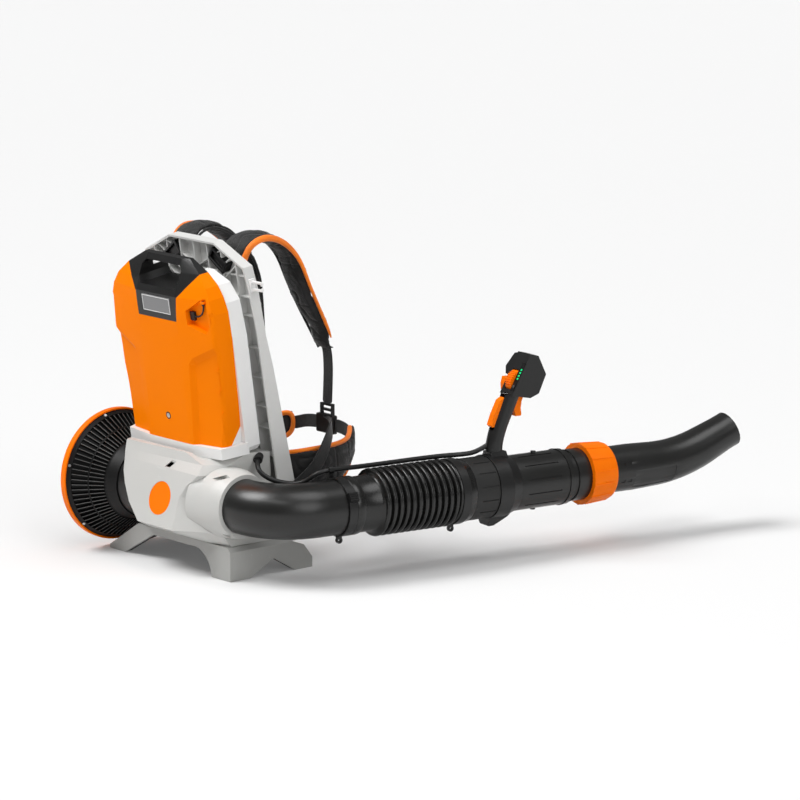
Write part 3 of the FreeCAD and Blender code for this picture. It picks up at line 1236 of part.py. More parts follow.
def carrying_frame():
    """Light grey back frame: a rimmed tray with ribs, open to the rear, standing on the stand's slope."""
    shell = frame_body(0, 0).cut(frame_body(FRAME_WALL, FRAME_WALL).fuse(
        prism_along_y(frame_outline(FRAME_WALL), -5, FRAME_RIM + 1)))
    ribs = frame_ribs().common(frame_body(FRAME_WALL - 0.5, FRAME_WALL - 0.5))
    whole = shell.fuse(ribs).removeSplitter()
    for side in (1, -1):
        whole = whole.cut(anchor_space(side, 0.15))
    return on_seat(whole).cut(stand_body(-FIT, 60)).cut(block(-250, 250, -50, 200, -50, FRAME_FOOT_Z))


def anchor_space(side, grow):
    """Where a harness anchor passes through the frame's back plate."""
    x = side * ANCHOR_X
    body = block(x - ANCHOR_HALF_X - grow, x + ANCHOR_HALF_X + grow, FRAME_RIM + 2, 60,
                 ANCHOR_UP - ANCHOR_HALF_UP - grow, ANCHOR_UP + ANCHOR_HALF_UP + grow)
    body.rotate(V(x, 0, ANCHOR_UP), Y_AXIS, side * ANCHOR_TILT)
    return body


def strap_anchors():
    """Black anchor plates of the shoulder straps, set in the frame."""
    anchors = []
    for side in (1, -1):
        x = side * ANCHOR_X
        body = anchor_space(side, 0).common(prism_along_x(frame_side(-6), -250, 250))
        bar = block(x - ANCHOR_HALF_X + 5, x + ANCHOR_HALF_X - 5, FRAME_RIM, FRAME_RIM + 9,
                    ANCHOR_UP - ANCHOR_HALF_UP + 5, ANCHOR_UP + ANCHOR_HALF_UP - 5)
        bar.rotate(V(x, 0, ANCHOR_UP), Y_AXIS, side * ANCHOR_TILT)
        anchors.append(body.cut(bar))
    return on_seat(group(*anchors))


def frame_hook():
    """White two-pronged hook on the right edge of the frame."""
    end = HOOK_X + HOOK_REACH
    base = block(HOOK_X, HOOK_X + 6, FRAME_RIM + 3, FRAME_RIM + 14, HOOK_UP - 12, HOOK_UP + 12)
    parts = []
    for side in (1, -1):
        near, far = sorted((HOOK_UP + side * 5, HOOK_UP + side * 9))
        parts.append(block(HOOK_X + 4, end, FRAME_RIM + 6, FRAME_RIM + 11, near, far))
        near, far = sorted((HOOK_UP + side * 2, HOOK_UP + side * 9))
        parts.append(block(end - 3, end, FRAME_RIM + 6, FRAME_RIM + 11, near, far))
    return on_seat(union(base, *parts).cut(frame_body(-0.1, -1)))


# Harness

def frame_front(z):
    """Y of the frame's front face at a height above the ground."""
    points = [on_seat_point(y, up) for y, up in frame_side()[2:]]
    for (y0, z0), (y1, z1) in zip(points, points[1:]):
        if z0 <= z <= z1:
            return y0 + (y1 - y0) * (z - z0) / (z1 - z0)
    return points[-1][0]


def on_seat_point(y, up):
    lean = radians(SEAT_LEAN)
    return SEAT_Y + y * cos(lean) - up * sin(lean), SEAT_Z + y * sin(lean) + up * cos(lean)


def shoulder_pad(path):
    """A shoulder pad on the right, arched from the frame's top over the shoulder."""
    sections = []
    for index, (x, y, z, width, thickness) in enumerate(path):
        before, after = path[max(index - 1, 0)], path[min(index + 1, len(path) - 1)]
        along = V(0, after[1] - before[1], after[2] - before[2])
        out = along.cross(X_AXIS)
        sections.append(((x, y, z), X_AXIS, out, width, thickness, thickness * 0.28))
    return padded(sections)


def shoulder_pad_right():
    return shoulder_pad(PAD_PATH)


def shoulder_pad_left():
    """Left shoulder pad, which hangs a little further in and forward."""
    return mirror_x(shoulder_pad(PAD_LEFT_PATH))


def ribbon(stations, width, thickness):
    """Flat webbing through places, each with its width's way and the way its face looks."""
    wires = []
    for place, across, face in stations:
        side = V(*across).normalize() * (width / 2)
        out = V(*face).normalize() * (thickness / 2)
        c = V(*place)
        corner = c - side - out
        wires.append(Part.makePolygon([corner, c + side - out, c + side + out, c - side + out, corner]))
    return Part.makeLoft(wires, True, True)


def webbing():
    """Right lower strap from the shoulder pad down to the frame's side."""
    half = ADJUSTER_HEIGHT / 2
    tip, before = V(*PAD_PATH[-1][:3]), V(*PAD_PATH[-2][:3])
    way = V(0, tip.y - before.y, tip.z - before.z).normalize()
    wide, ahead = (1, 0, 0), (0, 1, 0)
    upper = []
    for run in (0.3, 4.0, 8.0):
        upper.append(((tip.x, tip.y + way.y * run, tip.z + way.z * run), wide, (0, -way.z, way.y)))
    upper.append(((110, 197, 340), wide, ahead))
    for rise in (12, 4, 0.1):
        upper.append(((114, 192, ADJUSTER_Z + half + rise), wide, ahead))
    lower = [((114, 192, ADJUSTER_Z - half - drop), wide, ahead) for drop in (0.1, 3, 6)]
    lower += [((143, 178, 250), (0, 0, -1), (0.5, 0.85, 0)),
              ((176, 150, 247), (0.1, 0.2, -1), (0.85, 0.5, 0.1)),
              ((186, 112, 190), (0, 0.75, -0.65), (1, 0.1, 0)),
              ((FRAME_HALF + 5, 66, 150), (0, 0.7, -0.7), (1, 0, 0)),
              ((FRAME_HALF + 4.5, 48, 136), (0, 0.7, -0.7), (1, 0, 0))]
    upper = ribbon(upper, WEBBING_WIDTH, WEBBING_THICK)
    lower = ribbon(lower, WEBBING_WIDTH, WEBBING_THICK)
    return group(upper, lower)


def strap_webbing():
    """Webbing of both shoulder straps."""
    return group(webbing(), mirror_x(webbing()))


def adjuster():
    half = ADJUSTER_HEIGHT / 2
    frame = block(-17, 17, -4, 4, -half, half)
    slots = [block(-14, 14, -5, 5, 2, half - 4), block(-14, 14, -5, 5, -half + 4, -2)]
    buckle = frame.cut(Part.makeCompound(slots))
    buckle.translate(V(114, 192, ADJUSTER_Z))
    return buckle


def strap_adjusters():
    """Ladder buckles where the webbing turns back to the frame."""
    return group(adjuster(), mirror_x(adjuster()))


def belt_wing():
    """Right wing of the padded hip belt, curved round the waist."""
    sections = []
    for index, (x, y, z, height, thickness) in enumerate(BELT_PATH):
        before, after = BELT_PATH[max(index - 1, 0)], BELT_PATH[min(index + 1, len(BELT_PATH) - 1)]
        along = V(after[0] - before[0], after[1] - before[1], 0)
        out = along.cross(Z_AXIS)
        sections.append(((x, y, z), Z_AXIS, out, height, thickness, thickness * 0.28))
    return padded(sections)


def hip_belt_right():
    return belt_wing()


def hip_belt_left():
    return mirror_x(belt_wing())


def hip_webbing():
    """Webbing of the hip belt between the wings, one stretch each side of the buckle."""
    end, before = V(*BELT_PATH[-1][:3]), V(*BELT_PATH[-2][:3])
    way = V(end.x - before.x, end.y - before.y, 0).normalize()
    stations = []
    for distance in (0.3, 4.0, 8.0):
        place = end + way * distance
        stations.append(((place.x, place.y, place.z), (0, 0, 1), (-way.y, way.x, 0)))
    stations.append(((62, BUCKLE_Y - 1, 213), (0, 0, 1), (0.1, 1, 0)))
    for away in (12, 4, 0.1):
        stations.append(((BUCKLE_HALF + away, BUCKLE_Y, 216), (0, 0, 1), (0, 1, 0)))
    right = ribbon(stations, WEBBING_WIDTH, WEBBING_THICK)
    return group(right, mirror_x(right))


def hip_buckle():
    """Plastic buckle in the middle of the hip belt."""
    body = block(-BUCKLE_HALF, BUCKLE_HALF, BUCKLE_Y - 5, BUCKLE_Y + 5, 198, 234)
    return body.makeFillet(3, [e for e in body.Edges if abs(e.Length - 10) < 0.01])


def back_pad():
    """Padded back plate between the wearer and the frame."""
    sections = []
    for z, width, thickness in ((236, 196, 20), (262, 206, 26), (320, 204, 27), (377.5, 198, 25),
                                (438.8, 186, 22), (480, 164, 17)):
        y = frame_front(z) + 0.6 + thickness / 2
        sections.append(((0, y, z), X_AXIS, Y_AXIS, width, thickness, thickness * 0.2))
    return padded(sections, True)


# Cable

def cable_rear():
    """Control cable from the housing to the clip on the rear hose clamp."""
    return cord(cable_rear_route(), CABLE_RADIUS).cut(stacked(housing_levels()))


def cable_front():
    """Control cable from the clip along the hose to the handle, seated on the stem."""
    return cord(cable_front_route(), CABLE_RADIUS).cut(on_tube(stem_body(-0.1)))


def cable_clip():
    """Clip that holds the cable over the rear hose clamp."""
    ring = rod((CLIP_SIDE, CLIP_START, CLIP_UP), Y_AXIS, CABLE_RADIUS + 3, CLIP_LENGTH)
    ring = ring.cut(rod((CLIP_SIDE, CLIP_START - 1, CLIP_UP), Y_AXIS, CABLE_RADIUS + 0.1, CLIP_LENGTH + 2))
    foot = block(CLIP_SIDE - 5, CLIP_SIDE + 5, CLIP_START, CLIP_START + CLIP_LENGTH,
                 40, CLIP_UP - CABLE_RADIUS - 1)
    foot = foot.cut(rod((0, CLIP_START - 1, 0), Y_AXIS, CUFF_RADIUS + CLAMP_BAND, CLIP_LENGTH + 2))
    return on_tube(union(ring, foot))


def cable_grommet():
    """Rubber grommet where the cable leaves the housing."""
    route = cable_rear_route()
    start, way = V(*route[0]), (V(*route[1]) - V(*route[0])).normalize()
    ring = Part.makeCylinder(CABLE_RADIUS + 4, 14, start - way * 6, way)
    ring = ring.cut(Part.makeCylinder(CABLE_RADIUS + 0.05, 20, start - way * 8, way))
    return ring.cut(stacked(housing_levels()))


def tube_point(side, along, up):
    """A place beside the air tube, in the machine's axes."""
    lean = radians(TUBE_ANGLE)
    return (TUBE_X + side * cos(lean) + along * sin(lean),
            TUBE_Y - side * sin(lean) + along * cos(lean), FAN_Z + up)


def cable_rear_route():
    middle = CLIP_START + CLIP_LENGTH / 2
    return [(148.5, 0.6, 212.3), (166, -19, 201), (182, -12, 184), (203, 9, 173), (236, 33, 173),
            tube_point(CLIP_SIDE, -14, CLIP_UP), tube_point(CLIP_SIDE, middle, CLIP_UP)]


def cable_front_route():
    middle = CLIP_START + CLIP_LENGTH / 2
    return [tube_point(CLIP_SIDE, middle, CLIP_UP), tube_point(CLIP_SIDE, 30, CLIP_UP),
            tube_point(-26, 56, 63), tube_point(-29, 95, 62), tube_point(-29, 150, 62),
            tube_point(-28, 205, 62.5),
            tube_point(-26, 255, 62.2), tube_point(-20, 291, 61.5), tube_point(-9, 316, 65),
            tube_point(-3, 335, 77)]


NODES = {
    "stand_frame": stand_frame, "stand_liner": stand_liner, "fan_housing": fan_housing,
    "badge_disc": badge_disc, "outlet_collar": outlet_collar, "intake_cone": intake_cone,
    "intake_outer_grille": intake_outer_grille, "intake_rim_ring": intake_rim_ring,
    "intake_screws": intake_screws, "fan_duct": fan_duct, "fan_rotor": fan_rotor,
    "motor_shaft": motor_shaft, "motor_bearings": motor_bearings, "motor_mount": motor_mount,
    "motor_stator": motor_stator, "control_board": control_board,
    "elbow": elbow, "hose_clamp_rear": hose_clamp_rear, "bellows_hose": bellows_hose,
    "hose_clamp_front": hose_clamp_front, "grip_sleeve": grip_sleeve, "handle_tube": handle_tube,
    "handle_collar": handle_collar, "handle_grip": handle_grip, "handle_head": handle_head,
    "handle_pins": handle_pins, "trigger": trigger, "lockout_lever": lockout_lever,
    "thumb_slider": thumb_slider, "side_lever": side_lever, "display_panel": display_panel,
    "power_button": power_button, "coupling_ring": coupling_ring,
    "nozzle": nozzle, "battery_front_shell": battery_front_shell, "battery_rear_shell": battery_rear_shell,
    "battery_handle_insert": battery_handle_insert, "battery_label_plate": battery_label_plate,
    "battery_screw": battery_screw, "battery_cells": battery_cells,
    "battery_dock": battery_dock, "dock_contacts": dock_contacts, "socket_cap": socket_cap,
    "carrying_frame": carrying_frame, "strap_anchors": strap_anchors, "frame_hook": frame_hook,
    "shoulder_pad_right": shoulder_pad_right, "shoulder_pad_left": shoulder_pad_left,
    "strap_webbing": strap_webbing,
    "strap_adjusters": strap_adjusters, "hip_belt_right": hip_belt_right, "hip_belt_left": hip_belt_left,
    "hip_webbing": hip_webbing, "hip_buckle": hip_buckle, "back_pad": back_pad,
    "cable_rear": cable_rear, "cable_front": cable_front, "cable_clip": cable_clip,
    "cable_grommet": cable_grommet,
}

os.makedirs("parts", exist_ok=True)
for name, make in NODES.items():
    shape = make().copy()
    shape.translate(V(-ORIGIN_X, -ORIGIN_Y, 0))
    shape.exportStep("parts/" + name + ".step")
    print(name, "solids", len(shape.Solids), "volume", round(shape.Volume), "valid", shape.isValid())
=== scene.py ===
import json
from math import atan2, cos, pi, radians, sin

import bmesh
import bpy
from mathutils import Matrix, Vector, noise
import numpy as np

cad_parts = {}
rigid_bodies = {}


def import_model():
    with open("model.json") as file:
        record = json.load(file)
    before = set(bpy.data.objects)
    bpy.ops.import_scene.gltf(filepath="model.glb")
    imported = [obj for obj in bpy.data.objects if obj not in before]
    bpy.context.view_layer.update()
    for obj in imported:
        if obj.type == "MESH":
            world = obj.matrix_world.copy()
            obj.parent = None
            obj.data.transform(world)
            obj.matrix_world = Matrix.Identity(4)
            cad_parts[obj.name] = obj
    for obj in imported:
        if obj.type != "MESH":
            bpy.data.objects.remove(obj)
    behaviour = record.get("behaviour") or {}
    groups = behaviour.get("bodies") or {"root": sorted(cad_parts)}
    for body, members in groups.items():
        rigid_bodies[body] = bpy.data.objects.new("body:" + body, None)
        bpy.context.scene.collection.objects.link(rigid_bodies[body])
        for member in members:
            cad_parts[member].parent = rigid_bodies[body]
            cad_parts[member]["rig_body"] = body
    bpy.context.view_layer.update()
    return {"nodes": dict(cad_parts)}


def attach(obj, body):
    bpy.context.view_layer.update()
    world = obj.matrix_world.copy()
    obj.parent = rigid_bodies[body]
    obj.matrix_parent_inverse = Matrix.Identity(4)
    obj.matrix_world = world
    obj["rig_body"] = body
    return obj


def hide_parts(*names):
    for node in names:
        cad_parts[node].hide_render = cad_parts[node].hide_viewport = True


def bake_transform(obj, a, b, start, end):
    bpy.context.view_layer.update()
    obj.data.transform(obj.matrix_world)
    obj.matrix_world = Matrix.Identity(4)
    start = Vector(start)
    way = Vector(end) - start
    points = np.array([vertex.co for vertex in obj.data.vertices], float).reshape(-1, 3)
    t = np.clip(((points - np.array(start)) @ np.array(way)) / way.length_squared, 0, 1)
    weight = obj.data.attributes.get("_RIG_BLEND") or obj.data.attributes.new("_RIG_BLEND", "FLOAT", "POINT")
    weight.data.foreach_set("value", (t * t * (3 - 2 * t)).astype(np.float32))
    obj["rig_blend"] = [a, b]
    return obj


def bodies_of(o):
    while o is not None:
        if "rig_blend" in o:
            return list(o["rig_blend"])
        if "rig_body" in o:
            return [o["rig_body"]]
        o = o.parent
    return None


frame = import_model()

# Places are given in millimetres on the machine, and made metres in the shared frame
MACHINE_ORIGIN = Vector((118.6, 383.8, 0))
FAN_Y, FAN_Z = -60, 135.5
TUBE_ANGLE = radians(8)
TUBE_START = Vector((292.22, 58.42, 135.5))
SEAT_LEAN = radians(9)
SEAT_START = Vector((0, 6, 237))
HEAD_LEAN = atan2(40.6, 74)
HEAD_START = (375, 169)


def machine(x, y, z):
    return (Vector((x, y, z)) - MACHINE_ORIGIN) * 0.001


def beside_tube(side, along, up):
    """A place given by its distance beside, along and above the air tube's line."""
    x = side * cos(TUBE_ANGLE) + along * sin(TUBE_ANGLE)
    y = along * cos(TUBE_ANGLE) - side * sin(TUBE_ANGLE)
    return machine(*(TUBE_START + Vector((x, y, up))))


def on_seat(x, out, up):
    """A place on the leaning battery and frame: across, forward and up its back."""
    y = out * cos(SEAT_LEAN) - up * sin(SEAT_LEAN)
    z = out * sin(SEAT_LEAN) + up * cos(SEAT_LEAN)
    return machine(x, SEAT_START.y + y, SEAT_START.z + z)


def on_head(across, up, out):
    """A place on the control head's sloping face."""
    along = HEAD_START[0] + up * sin(HEAD_LEAN) - out * cos(HEAD_LEAN)
    return beside_tube(across, along, HEAD_START[1] + up * cos(HEAD_LEAN) + out * sin(HEAD_LEAN))


def colour(text):
    """A linear colour from the six digits that a colour chart gives."""
    values = [int(text[index:index + 2], 16) / 255 for index in (0, 2, 4)]
    return [value / 12.92 if value <= 0.04045 else ((value + 0.055) / 1.055) ** 2.4 for value in values] + [1]


def facing(place, target):
    """The turn of a camera or lamp that looks from one place at another."""
    return (Vector(target) - Vector(place)).to_track_quat("-Z", "Y").to_euler()


# Camera

CAMERA_PLACE = (5.8869, -5.0465, 1.8010)
CAMERA_TARGET = (0.0687, -0.0773, 0.2860)

camera_data = bpy.data.cameras.new("camera")
camera_data.lens = 189
camera_data.sensor_width = 36
camera_data.clip_end = 60
camera = bpy.data.objects.new("camera", camera_data)
bpy.context.scene.collection.objects.link(camera)
camera.location = CAMERA_PLACE
camera.rotation_euler = facing(CAMERA_PLACE, CAMERA_TARGET)
bpy.context.scene.camera = camera
bpy.context.scene.view_settings.view_transform = "Standard"


# Effects shared by several finishes

def effect(name, inputs, outputs):
    """An empty node group with named sockets, and its two ends."""
    tree = bpy.data.node_groups.new(name, "ShaderNodeTree")
    for label, kind, value in inputs:
        socket = tree.interface.new_socket(label, in_out="INPUT", socket_type="NodeSocket" + kind)
        socket.default_value = value
    for label, kind in outputs:
        tree.interface.new_socket(label, in_out="OUTPUT", socket_type="NodeSocket" + kind)
    return tree, tree.nodes.new("NodeGroupInput"), tree.nodes.new("NodeGroupOutput")


def feed(tree, node, values):
    """Gives a node its inputs: a value that is a socket is linked, and any other is set."""
    for key, value in values.items():
        if isinstance(value, bpy.types.NodeSocket):
            tree.links.new(value, node.inputs[key])
        else:
            node.inputs[key].default_value = value
    return node


def add(tree, kind, values=None, **settings):
    """A new node with its settings and inputs."""
    made = tree.nodes.new("ShaderNode" + kind)
    for key, value in settings.items():
        setattr(made, key, value)
    return feed(tree, made, values or {})


def sums(tree, operation, first, second):
    """The result of one operation on two values or sockets."""
    return add(tree, "Math", {0: first, 1: second}, operation=operation).outputs[0]


def moulded_skin():
    """Fine moulded grain with a faint unevenness of colour and gloss."""
    tree, given, out = effect(
        "Moulded skin",
        [("Colour", "Color", (0.5, 0.5, 0.5, 1)), ("Roughness", "Float", 0.5),
         ("Grain size", "Float", 1500.0), ("Grain depth", "Float", 0.1), ("Mottle", "Float", 0.05)],
        [("Colour", "Color"), ("Roughness", "Float"), ("Normal", "Vector")])
    place = add(tree, "TexCoord").outputs["Object"]
    broad = add(tree, "TexNoise", {"Vector": place, "Scale": 14.0, "Detail": 4.0}).outputs["Fac"]
    grain = add(tree, "TexNoise", {"Vector": place, "Scale": given.outputs["Grain size"],
                                   "Detail": 2.0}).outputs["Fac"]
    shift = sums(tree, "MULTIPLY", sums(tree, "SUBTRACT", broad, 0.5), given.outputs["Mottle"])
    value = sums(tree, "ADD", shift, 1.0)
    shade = add(tree, "HueSaturation", {"Color": given.outputs["Colour"], "Value": value})
    gloss = sums(tree, "MULTIPLY", sums(tree, "SUBTRACT", broad, 0.5), 0.16)
    gloss = sums(tree, "ADD", gloss, sums(tree, "MULTIPLY", sums(tree, "SUBTRACT", grain, 0.5), 0.10))
    bump = add(tree, "Bump", {"Height": grain, "Strength": given.outputs["Grain depth"], "Distance": 0.0004})
    feed(tree, out, {"Colour": shade.outputs["Color"], "Normal": bump.outputs["Normal"],
                     "Roughness": sums(tree, "ADD", given.outputs["Roughness"], gloss)})
    return tree


def woven_cloth():
    """Plain weave with the threads' own shade, over soft creases."""
    tree, given, out = effect(
        "Woven cloth",
        [("Vector", "Vector", (0, 0, 0)), ("Colour", "Color", (0.5, 0.5, 0.5, 1)),
         ("Roughness", "Float", 0.7), ("Threads", "Float", 1400.0), ("Thread depth", "Float", 0.3),
         ("Creases", "Float", 0.3)],
        [("Colour", "Color"), ("Roughness", "Float"), ("Normal", "Vector")])
    axes = add(tree, "SeparateXYZ", {"Vector": given.outputs["Vector"]})
    turns = sums(tree, "MULTIPLY", given.outputs["Threads"], 2 * pi)

    def wave(axis):
        across = sums(tree, "MULTIPLY", axes.outputs[axis], turns)
        return add(tree, "Math", {0: across}, operation="SINE").outputs[0]

    weave = sums(tree, "MULTIPLY", wave("X"), wave("Y"))
    crease = add(tree, "TexNoise", {"Vector": given.outputs["Vector"], "Scale": 38.0, "Detail": 3.0,
                                    "Distortion": 0.6}).outputs["Fac"]
    patchy = add(tree, "TexNoise", {"Vector": given.outputs["Vector"], "Scale": 12.0,
                                    "Detail": 3.0}).outputs["Fac"]
    value = sums(tree, "ADD", sums(tree, "MULTIPLY", weave, 0.10), sums(tree, "ADD", patchy, 0.5))
    shade = add(tree, "HueSaturation", {"Color": given.outputs["Colour"], "Value": value})
    folds = add(tree, "Bump", {"Height": crease, "Strength": given.outputs["Creases"], "Distance": 0.006})
    threads = add(tree, "Bump", {"Height": weave, "Strength": given.outputs["Thread depth"],
                                 "Distance": 0.0003, "Normal": folds.outputs["Normal"]})
    gloss = sums(tree, "MULTIPLY", sums(tree, "SUBTRACT", patchy, 0.5), 0.25)
    feed(tree, out, {"Colour": shade.outputs["Color"], "Normal": threads.outputs["Normal"],
                     "Roughness": sums(tree, "ADD", given.outputs["Roughness"], gloss)})
    return tree


def fine_scratches():
    """Hair-thin handling marks: a mask that is 1 in a mark."""
    tree, given, out = effect("Fine scratches", [("Amount", "Float", 0.3), ("Size", "Float", 20.0)],
                              [("Mask", "Float")])
    place = add(tree, "TexCoord").outputs["Object"]
    turned = add(tree, "Mapping", {"Vector": place, "Rotation": (0.5, 0.8, 0.3), "Scale": (1, 14, 3)})
    lines = add(tree, "TexNoise", {"Vector": turned.outputs["Vector"], "Scale": given.outputs["Size"],
                                   "Detail": 5.0, "Roughness": 0.7}).outputs["Fac"]
    spots = add(tree, "TexNoise", {"Vector": place, "Scale": 9.0, "Detail": 2.0}).outputs["Fac"]
    thin = add(tree, "MapRange", {"Value": lines, "From Min": 0.62, "From Max": 0.72})
    where = add(tree, "MapRange", {"Value": spots, "From Min": 0.48, "From Max": 0.62})
    mask = sums(tree, "MULTIPLY", thin.outputs["Result"], where.outputs["Result"])
    feed(tree, out, {"Mask": sums(tree, "MULTIPLY", mask, given.outputs["Amount"])})
    return tree


MOULDED_SKIN = moulded_skin()
WOVEN_CLOTH = woven_cloth()
FINE_SCRATCHES = fine_scratches()


# Finishes

def new_material(name):
    material = bpy.data.materials.new(name)
    material.use_nodes = True
    tree = material.node_tree
    return material, tree, tree.nodes["Principled BSDF"]


def moulded(name, shade, roughness, grain, depth, mottle, scratches=0.15, **sockets):
    """Moulded plastic, rubber or metal with its grain and light handling marks."""
    material, tree, shader = new_material(name)
    skin = add(tree, "Group", {"Colour": colour(shade), "Roughness": roughness, "Grain size": grain,
                               "Grain depth": depth, "Mottle": mottle}, node_tree=MOULDED_SKIN)
    marks = add(tree, "Group", {"Amount": scratches, "Size": 18.0}, node_tree=FINE_SCRATCHES)
    pale = [min(1, part * 1.5 + 0.05) for part in colour(shade)[:3]] + [1]
    worn = add(tree, "Mix", {0: marks.outputs["Mask"], 6: skin.outputs["Colour"], 7: pale}, data_type="RGBA")
    rough = sums(tree, "ADD", skin.outputs["Roughness"], sums(tree, "MULTIPLY", marks.outputs["Mask"], 0.3))
    feed(tree, shader, {"Base Color": worn.outputs[2], "Roughness": rough, "Normal": skin.outputs["Normal"]})
    feed(tree, shader, {key.replace("_", " "): value for key, value in sockets.items()})
    return material


def fabric(name, shade, roughness, threads, depth, creases, use_map=False):
    """Woven cloth or webbing."""
    material, tree, shader = new_material(name)
    coordinates = add(tree, "TexCoord")
    if use_map:
        place = coordinates.outputs["UV"]
    else:
        place = add(tree, "Mapping", {"Vector": coordinates.outputs["Object"], "Rotation": (0.7, 0.15, 0.1)})
        place = place.outputs["Vector"]
    cloth = add(tree, "Group", {"Vector": place, "Colour": colour(shade), "Roughness": roughness,
                                "Threads": threads, "Thread depth": depth, "Creases": creases},
                node_tree=WOVEN_CLOTH)
    feed(tree, shader, {"Base Color": cloth.outputs["Colour"], "Roughness": cloth.outputs["Roughness"],
                        "Normal": cloth.outputs["Normal"], "Sheen Weight": 0.25, "Sheen Roughness": 0.4})
    return material


def brushed_metal(name, shade, roughness):
    """Turned or drawn metal with fine lines."""
    material, tree, shader = new_material(name)
    place = add(tree, "TexCoord").outputs["Object"]
    drawn = add(tree, "Mapping", {"Vector": place, "Scale": (1, 30, 30)}).outputs["Vector"]
    lines = add(tree, "TexNoise", {"Vector": drawn, "Scale": 160.0, "Detail": 4.0}).outputs["Fac"]
    shift = add(tree, "MapRange", {"Value": lines, "To Min": 0.8, "To Max": 1.15}).outputs["Result"]
    tinted = add(tree, "HueSaturation", {"Color": colour(shade), "Value": shift})
    rough = add(tree, "MapRange", {"Value": lines, "To Min": roughness - 0.08, "To Max": roughness + 0.12})
    bump = add(tree, "Bump", {"Height": lines, "Strength": 0.15, "Distance": 0.0002})
    feed(tree, shader, {"Base Color": tinted.outputs["Color"], "Roughness": rough.outputs["Result"],
                        "Normal": bump.outputs["Normal"], "Metallic": 1.0})
    return material


def lit(name, shade, strength):
    """A lit sign behind clear plastic, its glow a little uneven."""
    material, tree, shader = new_material(name)
    place = add(tree, "TexCoord").outputs["Object"]
    spread = add(tree, "TexNoise", {"Vector": place, "Scale": 300.0}).outputs["Fac"]
    level = add(tree, "MapRange", {"Value": spread, "To Min": strength * 0.7, "To Max": strength * 1.3})
    feed(tree, shader, {"Base Color": colour(shade), "Roughness": 0.3, "Emission Color": colour(shade),
                        "Emission Strength": level.outputs["Result"]})
    return material


ORANGE_SHELL = moulded("orange shell", "ff8200", 0.45, grain=1300, depth=0.08, mottle=0.04,
                       Specular_IOR_Level=0.03)
ORANGE_TRIM = moulded("orange trim", "ff7800", 0.4, grain=1500, depth=0.08, mottle=0.06,
                      Specular_IOR_Level=0.12)
PALE_SHELL = moulded("pale grey shell", "c6c6c3", 0.42, grain=1100, depth=0.10, mottle=0.04)
STAND_GREY = moulded("stand grey", "a8a8a5", 0.5, grain=900, depth=0.14, mottle=0.05, scratches=0.3)
BATTERY_WHITE = moulded("battery white", "eeeeed", 0.42, grain=1100, depth=0.08, mottle=0.04)
BLACK_SHELL = moulded("black shell", "0d0d0d", 0.38, grain=1200, depth=0.12, mottle=0.2)
TUBE_BLACK = moulded("tube black", "181817", 0.32, grain=1400, depth=0.10, mottle=0.2, scratches=0.25)
GRILLE_BLACK = moulded("grille black", "090909", 0.5, grain=1400, depth=0.08, mottle=0.2,
                       Specular_IOR_Level=0.25)
SOFT_BLACK = moulded("soft black grip", "151514", 0.55, grain=800, depth=0.25, mottle=0.25)
HOSE_RUBBER = moulded("hose rubber", "131312", 0.26, grain=1000, depth=0.12, mottle=0.25)
CABLE_JACKET = moulded("cable jacket", "0f0f0f", 0.42, grain=900, depth=0.15, mottle=0.25)
LINER_BLACK = moulded("liner black", "2b2b2a", 0.65, grain=700, depth=0.3, mottle=0.2)
FRAME_GREY = moulded("frame grey", "d6d6d4", 0.48, grain=1000, depth=0.12, mottle=0.04)
# The lighter grey of the fins' outer edges is a painted highlight, not wear.
FIN_EDGE_HIGHLIGHT = moulded("fin edge painted highlight", "5c5c5b", 0.34, grain=1500, depth=0.05, mottle=0.1)
LABEL_GREY = moulded("label grey", "7f7f80", 0.38, grain=1800, depth=0.05, mottle=0.08)
STEEL = brushed_metal("bright steel", "c9cacb", 0.3)
COPPER = brushed_metal("winding copper", "b8653a", 0.35)
RING_BROWN = moulded("dark brown ring", "33200f", 0.5, grain=1200, depth=0.08, mottle=0.15)
BOARD_GREEN = moulded("board green", "1f5a35", 0.45, grain=500, depth=0.2, mottle=0.4)
CELL_WRAP = moulded("cell wrap", "2e5f8a", 0.4, grain=900, depth=0.1, mottle=0.1)
PAD_CLOTH = fabric("pad cloth", "0b0b0b", 0.66, 900.0, 0.35, 0.55)
PAD_MESH = fabric("pad mesh", "151515", 0.75, 420.0, 0.8, 0.3)
SIGN_GREEN = lit("lit green", "10c878", 1.1)
PIPING = fabric("orange binding", "ff8000", 0.6, 1200.0, 0.4, 0.2)
WEBBING = fabric("black webbing", "121212", 0.62, 560.0, 0.8, 0.12, use_map=True)


# Making pieces

def dress(node, material):
    """A new finish for a part that keeps its own shape."""
    part = frame["nodes"][node]
    if not part.material_slots:
        part.data.materials.append(material)
    for slot in part.material_slots:
        slot.material = material


def as_object(name, mesh, material):
    piece = bpy.data.objects.new(name, mesh)
    bpy.context.scene.collection.objects.link(piece)
    mesh.materials.clear()
    mesh.materials.append(material)
    return piece


def keep(shape, name, material, smooth=35):
    """Turns a finished bmesh into an object, smooth but for its sharp edges."""
    mesh = bpy.data.meshes.new(name)
    shape.to_mesh(mesh)
    shape.free()
    mesh.shade_smooth()
    mesh.set_sharp_from_angle(angle=radians(smooth))
    return as_object(name, mesh, material)


def joined(node):
    """A part's own mesh, welded, with its flat faces whole."""
    shape = bmesh.new()
    shape.from_mesh(frame["nodes"][node].data)
    bmesh.ops.remove_doubles(shape, verts=shape.verts, dist=0.00001)
    bmesh.ops.dissolve_limit(shape, angle_limit=radians(0.6), verts=shape.verts, edges=shape.edges)
    return shape


def body_of(node):
    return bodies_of(frame["nodes"][node])[0]


